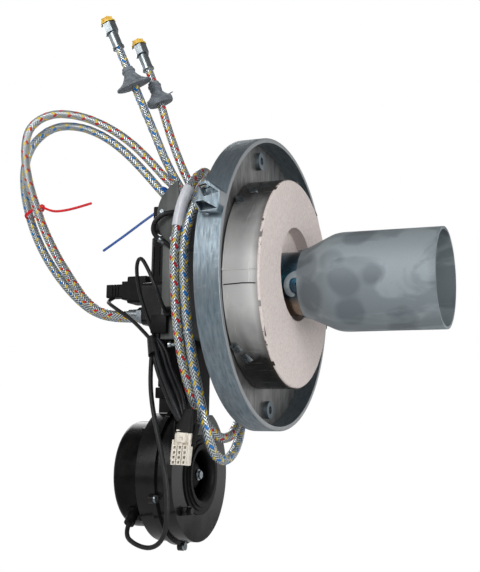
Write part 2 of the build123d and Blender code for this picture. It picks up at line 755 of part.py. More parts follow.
# ---- write everything
def main():
    save("door", door())
    save("insulation_block", insulation())
    save("block_band", band())
    save("flame_tube", flame_tube())
    save("mixing_tube", mixing_tube())
    save("mixing_disc", mixing_disc())
    save("nozzle_line", nozzle_line())
    save("nozzle", nozzle())
    save("electrodes", *electrodes())
    save("electrode_clamp", electrode_clamp())
    save("air_housing", air_housing())
    save("back_cover", back_cover())
    save("air_duct", duct())
    save("fan_shell_back", fan_shell_back())
    save("fan_shell_front", fan_shell_front())
    save("inlet_nozzle", inlet_nozzle())
    save("fan_wheel", fan_wheel())
    save("fan_blades", *fan_blades())
    save("fan_shroud", fan_shroud())
    save("motor_shaft", motor_shaft())
    save("motor_rotor", motor_rotor())
    save("motor_stator", motor_stator())
    save("motor_can", motor_can())
    save("motor_bearings", *bearings())
    save("cover_screws", *cover_screws())
    save("blower_screws", *blower_screws())
    save("pump_body", pump_body())
    save("pump_motor", pump_motor())
    save("pump_motor_cap", pump_motor_cap())
    save("pump_filter", pump_filter())
    save("valve_coil", coil())
    save("valve_tube", valve_tube())
    save("valve_plunger", valve_plunger())
    save("coil_plug", coil_plug())
    save("fuel_pipe", fuel_pipe())
    save("spark_box", spark_box())
    for name, route in (("red", red_route), ("blue", blue_route)):
        save(f"hose_{name}", tube(route, hose_r))
        save(f"hose_port_{name}", port_nut(route))
        save(f"hose_crimp_{name}", crimp(route))
        save(f"union_nut_{name}", union_nut(route))
        save(f"dust_plug_{name}", nut_cap(route))
    save("wall_boot_red", boot(*boot_place(red_route)))
    save("wall_boot_blue", boot(*boot_place(blue_route)))
    save("hose_label", hose_label())
    save("cable_gland", cable_gland())
    save("motor_gland", motor_gland())
    save("loom_boot", loom_boot())
    save("loom_connector", loom_connector())
    save("coil_lead", tube(coil_lead_route, cable_r))
    save("sensor_lead", tube(sensor_lead_route, cable_r))
    save("loom", tube(loom_route, loom_r))
    save("motor_lead", tube(motor_lead_route, tail_r))


def boot_place(route):
    """Middle of the second run from the free end, looking towards that end."""
    a, b = Vector(*route[-3]), Vector(*route[-2])
    return (a + b) * 0.5, b - a


main()
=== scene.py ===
import json
from math import cos, pi, radians, sin

import bmesh
import bpy
import numpy as np
from mathutils import Matrix, Vector


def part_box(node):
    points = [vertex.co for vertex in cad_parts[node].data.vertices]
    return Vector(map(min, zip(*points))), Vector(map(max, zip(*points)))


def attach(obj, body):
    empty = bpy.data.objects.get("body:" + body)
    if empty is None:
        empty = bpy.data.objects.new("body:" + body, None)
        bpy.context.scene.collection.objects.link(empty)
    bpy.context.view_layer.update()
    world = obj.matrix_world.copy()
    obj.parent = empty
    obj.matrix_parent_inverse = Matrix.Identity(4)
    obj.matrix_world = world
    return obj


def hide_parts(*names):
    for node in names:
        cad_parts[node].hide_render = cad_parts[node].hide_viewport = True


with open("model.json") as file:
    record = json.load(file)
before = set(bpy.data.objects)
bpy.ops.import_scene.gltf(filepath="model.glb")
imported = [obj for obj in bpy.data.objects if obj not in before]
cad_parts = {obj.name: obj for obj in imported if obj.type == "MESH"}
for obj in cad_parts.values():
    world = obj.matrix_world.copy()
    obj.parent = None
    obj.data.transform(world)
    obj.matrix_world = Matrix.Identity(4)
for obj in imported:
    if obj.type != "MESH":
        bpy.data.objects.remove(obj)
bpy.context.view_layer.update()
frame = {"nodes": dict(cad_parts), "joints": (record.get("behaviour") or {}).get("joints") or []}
cadNodes = frame["nodes"]
print("frame loaded,", len(cadNodes), "nodes")

scene = bpy.context.scene
scene.view_settings.view_transform = "Standard"


def linked(name, data):
    thing = bpy.data.objects.new(name, data)
    scene.collection.objects.link(thing)
    return thing


cameraRig = {
    "turn": 22.39,          # degrees round from the hinge side
    "rise": -8.52,
    "roll": 0.99,
    "distance": 1.22192,
    "aside": 0.04554,
    "below": 0.00135,
    "rimX": 0.028,
    "lens": 67.73,
}


def makeCamera(rig):
    az, el, roll = (radians(rig[k]) for k in ("turn", "rise", "roll"))
    back = Vector((sin(az) * cos(el), -cos(az) * cos(el), sin(el)))
    right = Vector((cos(az), sin(az), 0))
    up = back.cross(right)
    right, up = cos(roll) * right + sin(roll) * up, -sin(roll) * right + cos(roll) * up
    place = back * rig["distance"] - right * rig["aside"] - up * rig["below"]
    place.x += rig["rimX"]
    data = bpy.data.cameras.new("camera")
    data.lens = rig["lens"]
    data.sensor_width = 36
    data.clip_start, data.clip_end = 0.05, 30
    cam = linked("camera", data)
    turned = Matrix((right, up, back)).transposed()
    cam.matrix_world = Matrix.Translation(place) @ turned.to_4x4()
    scene.camera = cam


makeCamera(cameraRig)
print("camera placed")


def addNode(tree, kind, links=None, **props):
    # links: input name or number -> a socket to link, or a value to set
    node = tree.nodes.new(kind)
    for key, value in props.items():
        setattr(node, key, value)
    for key, value in (links or {}).items():
        if isinstance(value, bpy.types.NodeSocket):
            tree.links.new(value, node.inputs[key])
        else:
            node.inputs[key].default_value = value
    return node


def nodeOut(tree, kind, links=None, **props):
    return addNode(tree, kind, links, **props).outputs[0]


def calc(tree, operation, a, b=0.0, c=0.0):
    return nodeOut(tree, "ShaderNodeMath", {0: a, 1: b, 2: c}, operation=operation)


def times(tree, a, b):
    return calc(tree, "MULTIPLY", a, b)


def plus(tree, a, b):
    return calc(tree, "ADD", a, b)


def mixColours(tree, factor, a, b):
    return addNode(tree, "ShaderNodeMix", {0: factor, 6: a, 7: b}, data_type="RGBA").outputs[2]


def mixValues(tree, factor, a, b):
    return nodeOut(tree, "ShaderNodeMix", {0: factor, 2: a, 3: b}, data_type="FLOAT")


def rampOf(tree, factor, stops):
    node = addNode(tree, "ShaderNodeValToRGB", {0: factor})
    ramp = node.color_ramp
    while len(ramp.elements) < len(stops):
        ramp.elements.new(0.5)
    for element, (place, colour) in zip(ramp.elements, stops):
        element.position = place
        element.color = colour if len(colour) == 4 else (*colour, 1)
    return node.outputs[0]


def spread(tree, value, low, high, toLow=0.0, toHigh=1.0):
    node = addNode(tree, "ShaderNodeMapRange", {0: value, 1: low, 2: high, 3: toLow, 4: toHigh})
    return node.outputs[0]


def noiseOf(tree, vector, scale, detail=3.0, rough=0.55, distortion=0.0):
    links = {"Vector": vector, "Scale": scale, "Detail": detail, "Roughness": rough, "Distortion": distortion}
    return nodeOut(tree, "ShaderNodeTexNoise", links)


def objectPoint(tree):
    return addNode(tree, "ShaderNodeTexCoord").outputs["Object"]


def stretched(tree, vector, scale, place=(0, 0, 0), turn=(0, 0, 0)):
    return nodeOut(tree, "ShaderNodeMapping", {0: vector, 1: place, 2: turn, 3: scale})


def grey(level):
    return (level, level, level, 1)


def newGroup(name, inputs, outputs):
    group = bpy.data.node_groups.new(name, "ShaderNodeTree")
    for label, kind, value in inputs:
        item = group.interface.new_socket(label, in_out="INPUT", socket_type="NodeSocket" + kind)
        if value is not None:
            item.default_value = value
    for label, kind in outputs:
        group.interface.new_socket(label, in_out="OUTPUT", socket_type="NodeSocket" + kind)
    return group, group.nodes.new("NodeGroupInput").outputs, group.nodes.new("NodeGroupOutput").inputs


def castGrainGroup():
    # fine cast or moulded skin, with a slow cloud over it
    group, given, out = newGroup(
        "castGrain",
        [("Vector", "Vector", None), ("Fine", "Float", 900.0), ("Cloud", "Float", 14.0)],
        [("Grain", "Float"), ("Cloud", "Float")])
    grain = noiseOf(group, given["Vector"], given["Fine"], 2.0)
    cloud = noiseOf(group, given["Vector"], given["Cloud"], 4.0, 0.6)
    group.links.new(grain, out["Grain"])
    group.links.new(spread(group, cloud, 0.3, 0.7), out["Cloud"])
    return group


def dustGroup():
    # dust that lies on faces that look up, broken by noise
    group, given, out = newGroup(
        "settledDust",
        [("Vector", "Vector", None), ("Amount", "Float", 0.5), ("Patch", "Float", 60.0)],
        [("Mask", "Float")])
    normal = addNode(group, "ShaderNodeNewGeometry").outputs["Normal"]
    up = addNode(group, "ShaderNodeSeparateXYZ", {0: normal}).outputs[2]
    facing = spread(group, up, -0.4, 1.0, 0.25, 1.0)
    patch = spread(group, noiseOf(group, given["Vector"], given["Patch"], 5.0, 0.65), 0.42, 0.62)
    mask = times(group, times(group, facing, patch), given["Amount"])
    group.links.new(mask, out["Mask"])
    return group


def scratchGroup():
    # short hairlines in two directions
    group, given, out = newGroup(
        "hairlines",
        [("Vector", "Vector", None), ("Scale", "Float", 40.0), ("Share", "Float", 0.35)],
        [("Mask", "Float")])
    masks = []
    for turn in (0.5, -1.1):
        lines = stretched(group, given["Vector"], (1.0, 14.0, 1.6), (0, 0, 0), (turn, 0.3, turn))
        lines = noiseOf(group, lines, given["Scale"], 2.0, 0.4)
        masks.append(spread(group, lines, 0.66, 0.72))
    both = calc(group, "MAXIMUM", masks[0], masks[1])
    group.links.new(times(group, both, given["Share"]), out["Mask"])
    return group


braid = {
    "carriers": 10,         # strands each way
    "pitch": 0.042,         # metres of hose for one turn of a strand
    "lift": 0.00042,        # how far a strand stands out
    "tracers": (0, 5),      # coloured strands one way
    "backTracers": (2, 7),  # yellow strands the other way
}


def braidGroup():
    # two-over two-under braid on a hose's own UV map: U once round, V in metres
    group, given, out = newGroup(
        "braidWeave", [("Vector", "Vector", None)],
        [("Height", "Float"), ("Tracer", "Float"), ("Yellow", "Float"), ("Wire", "Float")])
    parts = addNode(group, "ShaderNodeSeparateXYZ", {0: given["Vector"]}).outputs
    turns = calc(group, "DIVIDE", parts[1], braid["pitch"])
    n = braid["carriers"]
    ways = []
    for operation in ("ADD", "SUBTRACT"):
        along = times(group, calc(group, operation, parts[0], turns), n)
        number = calc(group, "FLOOR", along)
        across = calc(group, "SUBTRACT", along, number)
        arch = calc(group, "SUBTRACT", times(group, across, 2.0), 1.0)
        arch = calc(group, "SUBTRACT", 1.0, times(group, arch, arch))
        ways.append((number, across, arch))
    total = plus(group, ways[0][0], ways[1][0])
    pair = calc(group, "FLOORED_MODULO", total, 4.0)
    first = calc(group, "LESS_THAN", pair, 1.5)
    second = calc(group, "SUBTRACT", 1.0, first)
    height = mixValues(group, first, ways[1][2], ways[0][2])
    lowest = calc(group, "POWER", height, 0.6)
    wires = mixValues(group, first, ways[1][1], ways[0][1])
    wire = calc(group, "SINE", times(group, wires, 2 * pi * 4))
    home = calc(group, "FLOORED_MODULO", ways[0][0], n)
    away = calc(group, "FLOORED_MODULO", ways[1][0], n)
    tracer = 0.0
    for k in braid["tracers"]:
        hit = calc(group, "COMPARE", home, float(k), 0.5)
        tracer = calc(group, "MAXIMUM", hit, tracer)
    tracer = times(group, tracer, first)
    yellow = 0.0
    for k in braid["backTracers"]:
        yellow = calc(group, "MAXIMUM", calc(group, "COMPARE", away, float(k), 0.5), yellow)
    yellow = times(group, yellow, second)
    group.links.new(lowest, out["Height"])
    group.links.new(tracer, out["Tracer"])
    group.links.new(yellow, out["Yellow"])
    group.links.new(spread(group, wire, -1.0, 1.0), out["Wire"])
    return group


groups = {"grain": castGrainGroup(), "dust": dustGroup(), "scratch": scratchGroup(), "braid": braidGroup()}


def useGroup(tree, name, links):
    return addNode(tree, "ShaderNodeGroup", links, node_tree=groups[name]).outputs


def newMaterial(name, **plain):
    material = bpy.data.materials.new(name)
    material.use_nodes = True
    tree = material.node_tree
    shader = tree.nodes["Principled BSDF"]
    for label, value in plain.items():
        shader.inputs[label].default_value = value
    return material, tree, shader, objectPoint(tree)


def wire(tree, shader, **links):
    names = {"colour": "Base Color", "roughness": "Roughness", "metallic": "Metallic", "normal": "Normal"}
    for key, socket in links.items():
        tree.links.new(socket, shader.inputs[names[key]])


def bumpOf(tree, height, strength, distance=0.0005):
    links = {"Strength": strength, "Distance": distance, "Height": height}
    return nodeOut(tree, "ShaderNodeBump", links)


print("shader groups made")


castDoor = {
    "dark": (0.125, 0.172, 0.205, 1),
    "light": (0.245, 0.305, 0.345, 1),
    "floorDark": (0.13, 0.13, 0.13, 1),
    "floorLight": (0.38, 0.38, 0.375, 1),
    "machined": (0.40, 0.42, 0.43, 1),
    "floorX": 0.0065,
    "edgeX": 0.0274,
    "halfY": 0.1705,
    "halfZ": 0.1605,
}


def castDoorMetal(look):
    material, tree, shader, point = newMaterial("castDoorMetal", Metallic=0.82)
    x, y, z = addNode(tree, "ShaderNodeSeparateXYZ", {0: point}).outputs
    angle = calc(tree, "ARCTAN2", z, times(tree, y, -1.0))
    lines = nodeOut(tree, "ShaderNodeCombineXYZ", {0: times(tree, x, 300.0),
                                                   1: times(tree, angle, 9.0), 2: 0.0})
    streak = spread(tree, noiseOf(tree, lines, 1.0, 6.0, 0.62), 0.32, 0.68)
    grain = useGroup(tree, "grain", {"Vector": point, "Fine": 700.0, "Cloud": 26.0})
    wallColour = mixColours(tree, streak, look["dark"], look["light"])
    wallColour = mixColours(tree, times(tree, grain["Cloud"], 0.35), wallColour, grey(0.20))
    drips = stretched(tree, point, (30.0, 95.0, 22.0))
    drip = spread(tree, noiseOf(tree, drips, 1.0, 7.0, 0.66, 0.4), 0.30, 0.72)
    floorColour = mixColours(tree, drip, look["floorDark"], look["floorLight"])
    acrossY = calc(tree, "POWER", calc(tree, "DIVIDE", y, look["halfY"]), 2.0)
    acrossZ = calc(tree, "POWER", calc(tree, "DIVIDE", z, look["halfZ"]), 2.0)
    inside = calc(tree, "LESS_THAN", plus(tree, acrossY, acrossZ), 1.0)
    onFloor = times(tree, inside, calc(tree, "LESS_THAN", x, look["floorX"]))
    colour = mixColours(tree, onFloor, wallColour, floorColour)
    edge = spread(tree, x, look["edgeX"], look["edgeX"] + 0.0005)
    colour = mixColours(tree, edge, colour, look["machined"])
    hair = useGroup(tree, "scratch", {"Vector": point, "Scale": 60.0, "Share": 0.16})
    colour = mixColours(tree, hair["Mask"], colour, grey(0.50))
    roughness = spread(tree, streak, 0.0, 1.0, 0.52, 0.36)
    height = plus(tree, times(tree, grain["Grain"], 0.5), streak)
    wire(tree, shader, colour=colour, roughness=roughness, normal=bumpOf(tree, height, 0.35, 0.0004))
    return material


def castHousingMetal():
    material, tree, shader, point = newMaterial("castHousingMetal", Metallic=0.55)
    grain = useGroup(tree, "grain", {"Vector": point, "Fine": 520.0, "Cloud": 30.0})
    drag = spread(tree, noiseOf(tree, stretched(tree, point, (60.0, 60.0, 9.0)), 1.0, 5.0), 0.35, 0.7)
    colour = mixColours(tree, drag, (0.075, 0.082, 0.078, 1), (0.17, 0.18, 0.172, 1))
    colour = mixColours(tree, times(tree, grain["Grain"], 0.4), colour, grey(0.10))
    wire(tree, shader, colour=colour, roughness=spread(tree, grain["Cloud"], 0, 1, 0.5, 0.7),
         normal=bumpOf(tree, grain["Grain"], 0.5, 0.0005))
    return material


bandSheet = {
    # painted light: the bright middle is a painted highlight, and the dark top and the dark foot are painted
    # shade
    "bright": (0.93, 0.925, 0.91, 1),
    "paintedShadeTop": (0.060, 0.058, 0.057, 1),
    "foot": (0.028, 0.027, 0.026, 1),
    "paintedShadeTopFrom": 0.016,     # height above the middle at which the painted shade on the sheet begins
    "paintedShadeTopTo": 0.088,
    "footFrom": 0.036,
    "footTo": 0.094,
}


def bandMetal(look):
    material, tree, shader, point = newMaterial("bandMetal", Metallic=0.18)
    x, _, z = addNode(tree, "ShaderNodeSeparateXYZ", {0: point}).outputs
    rubbed = noiseOf(tree, stretched(tree, point, (200.0, 24.0, 12.0)), 1.0, 4.0, 0.5)
    cloud = noiseOf(tree, stretched(tree, point, (30.0, 22.0, 14.0)), 1.0, 4.0, 0.55, 0.4)
    # a painted highlight round the middle of the sheet, darkening to painted shade above it and below it
    level = plus(tree, z, times(tree, calc(tree, "SUBTRACT", cloud, 0.5), 0.05))
    above = spread(tree, level, look["paintedShadeTopFrom"], look["paintedShadeTopTo"])
    below = spread(tree, times(tree, level, -1.0), look["footFrom"], look["footTo"])
    colour = mixColours(tree, above, look["bright"], look["paintedShadeTop"])
    colour = mixColours(tree, below, colour, look["foot"])
    soot = spread(tree, plus(tree, x, times(tree, cloud, 0.008)), 0.044, 0.052)
    colour = mixColours(tree, times(tree, soot, 0.7), colour, (0.07, 0.05, 0.04, 1))
    hair = useGroup(tree, "scratch", {"Vector": point, "Scale": 46.0, "Share": 0.12})
    colour = mixColours(tree, hair["Mask"], colour, grey(0.62))
    roughness = spread(tree, rubbed, 0.3, 0.7, 0.20, 0.28)
    wire(tree, shader, colour=colour, roughness=roughness, normal=bumpOf(tree, rubbed, 0.05, 0.0003))
    return material


def bluedMetal():
    material, tree, shader, point = newMaterial("bluedMetal", Metallic=1.0)
    _, _, z = addNode(tree, "ShaderNodeSeparateXYZ", {0: point}).outputs
    cloud = noiseOf(tree, point, 45.0, 4.0)
    level = plus(tree, z, times(tree, cloud, 0.012))
    # heat colours by height, and the bright blue band near the middle is a painted reflection
    colour = rampOf(tree, spread(tree, level, -0.036, 0.044), [
        (0.0, (0.30, 0.235, 0.18)), (0.20, (0.25, 0.20, 0.155)), (0.30, (0.055, 0.075, 0.10)),
        (0.46, (0.045, 0.10, 0.15)), (0.56, (0.06, 0.27, 0.42)), (0.64, (0.055, 0.12, 0.17)),
        (1.0, (0.06, 0.075, 0.095))])
    roughness = spread(tree, cloud, 0.3, 0.7, 0.20, 0.32)
    specks = spread(tree, noiseOf(tree, point, 900.0, 1.0), 0.70, 0.74)
    colour = mixColours(tree, specks, colour, (0.35, 0.27, 0.2, 1))
    wire(tree, shader, colour=colour, roughness=roughness)
    return material


def skinMaterial(name, dark, light, rough, fine, cloud, bump=None, dust=None, hair=False, roughBy="Grain",
                 **plain):
    # fine grain and a slow cloud, with dust or hairlines over them
    material, tree, shader, point = newMaterial(name, **plain)
    grain = useGroup(tree, "grain", {"Vector": point, "Fine": fine, "Cloud": cloud})
    colour = mixColours(tree, grain["Cloud"], dark, light)
    if dust:
        amount, patch, tint = dust
        mask = useGroup(tree, "dust", {"Vector": point, "Amount": amount, "Patch": patch})["Mask"]
        colour = mixColours(tree, mask, colour, tint)
    if hair:
        mask = useGroup(tree, "scratch", {"Vector": point, "Scale": 160.0, "Share": 0.35})["Mask"]
        colour = mixColours(tree, mask, colour, grey(0.8))
    low, high = (0.3, 0.7) if roughBy == "Grain" else (0, 1)
    wire(tree, shader, colour=colour, roughness=spread(tree, grain[roughBy], low, high, *rough))
    if bump:
        wire(tree, shader, normal=bumpOf(tree, grain["Grain"], *bump))
    return material


def plainMetal(name, light, dark, metallic=1.0, rough=(0.22, 0.42), fine=300.0):
    return skinMaterial(name, dark, light, rough, fine, 60.0, (0.15, 0.0002), hair=True, Metallic=metallic)


def mouldedPlastic(name, light, dark, rough):
    return skinMaterial(name, dark, light, (rough, rough + 0.15), 600.0, 120.0, (0.12, 0.0002))


def blackPaint(name, gloss):
    return skinMaterial(name, grey(0.0025), grey(0.007), (0.14, 0.26), 380.0, 34.0, (0.10, 0.0003),
                        (0.035, 70.0, (0.20, 0.17, 0.15, 1)), roughBy="Cloud",
                        **{"Specular IOR Level": gloss})


def laminatedMetal():
    material, tree, shader, point = newMaterial("laminatedMetal", Metallic=0.9)
    x = nodeOut(tree, "ShaderNodeSeparateXYZ", {0: point})
    sheetEdge = calc(tree, "SINE", times(tree, x, 2 * pi / 0.0006))
    colour = mixColours(tree, spread(tree, sheetEdge, -1, 1), grey(0.10), grey(0.24))
    wire(tree, shader, colour=colour, roughness=spread(tree, sheetEdge, -1, 1, 0.6, 0.4),
         normal=bumpOf(tree, sheetEdge, 0.3, 0.0002))
    return material


def copperWinding():
    material, tree, shader, point = newMaterial("copperWinding", Metallic=0.6, Roughness=0.32)
    turns = addNode(tree, "ShaderNodeTexWave", {"Vector": point, "Scale": 220.0, "Distortion": 2.0},
                    bands_direction="X").outputs["Fac"]
    colour = mixColours(tree, turns, (0.16, 0.055, 0.02, 1), (0.52, 0.21, 0.08, 1))
    wire(tree, shader, colour=colour, normal=bumpOf(tree, turns, 0.6, 0.0005))
    return material


def flameCeramic():
    material, tree, shader, point = newMaterial("flameCeramic", Metallic=0.25)
    bend = addNode(tree, "ShaderNodeTexNoise", {"Vector": point, "Scale": 16.0, "Detail": 2.0}).outputs[1]
    bent = addNode(tree, "ShaderNodeVectorMath", {0: point, 1: (0, 0, 0)}, operation="ADD")
    shift = nodeOut(tree, "ShaderNodeVectorMath", {0: bend, 3: 0.03}, operation="SCALE")
    tree.links.new(shift, bent.inputs[1])
    links = {"Vector": bent.outputs[0], "Scale": 24.0, "Smoothness": 0.25, "Randomness": 1.0}
    lobes = nodeOut(tree, "ShaderNodeTexVoronoi", links, feature="SMOOTH_F1")
    wipe = noiseOf(tree, stretched(tree, point, (9.0, 20.0, 20.0)), 1.0, 4.0, 0.5, 1.2)
    patch = plus(tree, spread(tree, lobes, 0.36, 0.50, 0.0, 0.5), spread(tree, wipe, 0.47, 0.56, 0.0, 0.5))
    colour = rampOf(tree, patch, [(0.0, (0.135, 0.165, 0.185)), (0.35, (0.185, 0.222, 0.243)),
                                  (0.7, (0.235, 0.278, 0.300)), (1.0, (0.30, 0.35, 0.375))])
    speck = noiseOf(tree, point, 1400.0, 2.0, 0.6)
    colour = mixColours(tree, spread(tree, speck, 0.3, 0.7, 0.0, 0.22), colour, grey(0.12))
    height = plus(tree, speck, times(tree, patch, 0.4))
    wire(tree, shader, colour=colour, roughness=spread(tree, patch, 0, 1, 0.50, 0.62),
         normal=bumpOf(tree, height, 0.25, 0.0003))
    return material


def fibreBoard():
    material, tree, shader, point = newMaterial("fibreBoard", Roughness=0.92)
    _, y, z = addNode(tree, "ShaderNodeSeparateXYZ", {0: point}).outputs
    threads = stretched(tree, point, (900.0, 900.0, 240.0))
    fibres = spread(tree, noiseOf(tree, threads, 1.0, 3.0, 0.7), 0.30, 0.70)
    cloud = spread(tree, noiseOf(tree, point, 26.0, 4.0), 0.3, 0.7)
    colour = mixColours(tree, fibres, (0.60, 0.52, 0.49, 1), (0.86, 0.785, 0.75, 1))
    colour = mixColours(tree, times(tree, cloud, 0.30), colour, (0.66, 0.59, 0.56, 1))
    speck = spread(tree, noiseOf(tree, point, 620.0, 2.0), 0.66, 0.70)
    colour = mixColours(tree, times(tree, speck, 0.6), colour, (0.22, 0.13, 0.10, 1))
    radius = calc(tree, "SQRT", plus(tree, times(tree, y, y), times(tree, z, z)))
    ragged = noiseOf(tree, point, 64.0, 6.0, 0.75)
    scorch = spread(tree, plus(tree, radius, times(tree, ragged, 0.008)), 0.1215, 0.1222)
    colour = mixColours(tree, scorch, colour, (0.085, 0.035, 0.02, 1))
    wire(tree, shader, colour=colour, normal=bumpOf(tree, fibres, 0.45, 0.0006))
    return material


def braidMetal(name, tracer):
    material, tree, shader, point = newMaterial(name)
    place = nodeOut(tree, "ShaderNodeUVMap", uv_map="around")
    weave = useGroup(tree, "braid", {"Vector": place})
    cloud = spread(tree, noiseOf(tree, point, 40.0, 3.0), 0.3, 0.7)
    # painted light on the weave: a painted highlight on the strand crowns, painted shade in the gaps between
    # strands and between the wires, and the lowest parts darkened again
    crownLightGapShade = spread(tree, weave["Height"], 0.60, 0.97)
    steel = mixColours(tree, crownLightGapShade, (0.006, 0.010, 0.013, 1), (0.80, 0.87, 0.90, 1))
    steel = mixColours(tree, times(tree, weave["Wire"], 0.22), steel, (0.16, 0.20, 0.23, 1))
    steel = mixColours(tree, times(tree, cloud, 0.12), steel, (0.24, 0.28, 0.30, 1))
    threads = calc(tree, "MAXIMUM", weave["Tracer"], weave["Yellow"])
    colour = mixColours(tree, weave["Tracer"], steel, tracer)
    colour = mixColours(tree, weave["Yellow"], colour, (0.80, 0.60, 0.06, 1))
    shaded = mixColours(tree, spread(tree, weave["Height"], 0.10, 0.50, 0.85, 0.0), colour, grey(0.004))
    wire(tree, shader, colour=shaded, metallic=spread(tree, threads, 0, 1, 0.72, 0.0),
         roughness=spread(tree, threads, 0, 1, 0.30, 0.6), normal=bumpOf(tree, weave["Height"], 0.9, 0.0006))
    return material


finishes = {
    "castDoor": castDoorMetal(castDoor),
    "castHousing": castHousingMetal(),
    "band": bandMetal(bandSheet),
    "blued": bluedMetal(),
    "plain": plainMetal("turnedMetal", (0.55, 0.55, 0.55, 1), (0.33, 0.33, 0.34, 1)),
    "brass": plainMetal("turnedBrass", (0.72, 0.52, 0.22, 1), (0.50, 0.33, 0.12, 1)),
    "zinc": plainMetal("zincMetal", (0.44, 0.49, 0.51, 1), (0.19, 0.22, 0.24, 1), 0.95, (0.22, 0.38), 500.0),
    "rotor": laminatedMetal(),
    "copper": copperWinding(),
    "ceramic": flameCeramic(),
    "glazed": mouldedPlastic("glazedCeramic", (0.82, 0.80, 0.75, 1), (0.70, 0.67, 0.61, 1), 0.12),
    "board": fibreBoard(),
    "paint": blackPaint("blackPaint", 0.30),
    "canPaint": blackPaint("canPaint", 0.09),
    "plastic": skinMaterial("blackPlastic", grey(0.003), grey(0.008), (0.38, 0.55), 800.0, 50.0,
                            (0.2, 0.0003), (0.04, 110.0, (0.16, 0.135, 0.12, 1)),
                            **{"Specular IOR Level": 0.14}),
    "rubber": skinMaterial("dullRubber", (0.085, 0.098, 0.112, 1), (0.165, 0.190, 0.215, 1), (0.62, 0.82),
                           520.0, 90.0, (0.5, 0.0005), (0.9, 130.0, (0.30, 0.335, 0.37, 1)), roughBy="Cloud"),
    "yellow": mouldedPlastic("yellowPlastic", (0.88, 0.60, 0.10, 1), (0.72, 0.43, 0.05, 1), 0.30),
    "ivory": mouldedPlastic("ivoryPlastic", (0.80, 0.76, 0.68, 1), (0.66, 0.60, 0.51, 1), 0.40),
    "label": mouldedPlastic("labelFilm", (0.76, 0.78, 0.82, 1), (0.62, 0.65, 0.70, 1), 0.22),
    "jacket": skinMaterial("cableJacket", (0.004, 0.004, 0.005, 1), (0.012, 0.0125, 0.014, 1), (0.34, 0.5),
                           700.0, 90.0, None, (0.04, 160.0, (0.18, 0.18, 0.19, 1)),
                           **{"Specular IOR Level": 0.35}),
    "braidRed": braidMetal("braidRed", (0.62, 0.008, 0.014, 1)),
    "braidBlue": braidMetal("braidBlue", (0.0, 0.19, 0.62, 1)),
    "tieRed": mouldedPlastic("redNylon", (0.80, 0.010, 0.018, 1), (0.60, 0.004, 0.010, 1), 0.32),
    "tieBlue": mouldedPlastic("blueNylon", (0.003, 0.125, 0.50, 1), (0.002, 0.075, 0.34, 1), 0.32),
    # scorch colour, which on the cracks is painted shade
    "scorchAndCrackShade": mouldedPlastic("scorchAndCrackShadeBoard", (0.075, 0.030, 0.018, 1), (0.030, 0.012, 0.008, 1), 0.8),
    "seal": mouldedPlastic("sealRubber", (0.020, 0.018, 0.016, 1), (0.010, 0.009, 0.008, 1), 0.5),
}

nodeFinish = {
    "board": ["insulation_block"], "band": ["block_band"], "brass": ["nozzle"], "glazed": ["electrodes"],
    "castHousing": ["air_housing", "back_cover"], "rotor": ["motor_rotor"], "copper": ["motor_stator"],
    "plain": ["mixing_disc", "nozzle_line", "electrode_clamp", "motor_shaft", "motor_bearings", "valve_tube",
              "valve_plunger", "fuel_pipe"],
    "plastic": ["air_duct", "inlet_nozzle", "fan_wheel", "fan_blades", "fan_shroud", "pump_motor",
                "pump_motor_cap", "valve_coil", "coil_plug", "spark_box", "cable_gland", "motor_gland"],
    "paint": ["fan_shell_back", "fan_shell_front", "pump_body", "pump_filter"], "canPaint": ["motor_can"],
    "zinc": ["cover_screws", "blower_screws", "hose_port_red", "hose_port_blue", "hose_crimp_red",
             "hose_crimp_blue", "union_nut_red", "union_nut_blue"],
    "yellow": ["dust_plug_red", "dust_plug_blue"], "jacket": ["loom_boot"],
}


def dressNodes():
    # the nodes that stay; those that are replaced get no material here
    for finish, names in nodeFinish.items():
        for name in names:
            mesh = cadNodes[name].data
            mesh.materials.clear()
            mesh.materials.append(finishes[finish])


dressNodes()
print("materials on", sum(len(names) for names in nodeFinish.values()), "nodes")


# routes repeat the CAD model's points in metres, some of them eased
redRoute = [
    (-0.156, -0.013, -0.031), (-0.188, -0.013, -0.031), (-0.22, -0.008, -0.012), (-0.248, 0.002, 0.018),
    (-0.275, 0.01, 0.05), (-0.298, 0.016, 0.084), (-0.317, 0.022, 0.119), (-0.334, 0.027, 0.156),
    (-0.346, 0.032, 0.196), (-0.345, 0.038, 0.234), (-0.316, 0.046, 0.252), (-0.276, 0.054, 0.247),
    (-0.238, 0.06, 0.230), (-0.204, 0.066, 0.206), (-0.174, 0.069, 0.176), (-0.146, 0.07, 0.145),
    (-0.116, 0.06, 0.13), (-0.086, 0.034, 0.133), (-0.064, 0.0, 0.137), (-0.057, -0.034, 0.131),
    (-0.0585, -0.058, 0.112), (-0.0655, -0.067, 0.088), (-0.0685, -0.0715, 0.060), (-0.0705, -0.0740, 0.026),
    (-0.068, -0.0745, -0.014), (-0.0645, -0.075, -0.048), (-0.059, -0.075, -0.082),
    (-0.051, -0.073, -0.114), (-0.043, -0.067, -0.141), (-0.035, -0.052, -0.162),
    (-0.030, -0.031, -0.174), (-0.028, -0.007, -0.173), (-0.028, 0.017, -0.158), (-0.030, 0.038, -0.132),
    (-0.031, 0.057, -0.102), (-0.034, 0.068, -0.062), (-0.04, 0.072, -0.014), (-0.05, 0.078, 0.034),
    (-0.076, 0.084, 0.078), (-0.106, 0.086, 0.116), (-0.132, 0.086, 0.154), (-0.150, 0.086, 0.194),
    (-0.165, 0.086, 0.234), (-0.177, 0.086, 0.272), (-0.193, 0.085, 0.31),
]
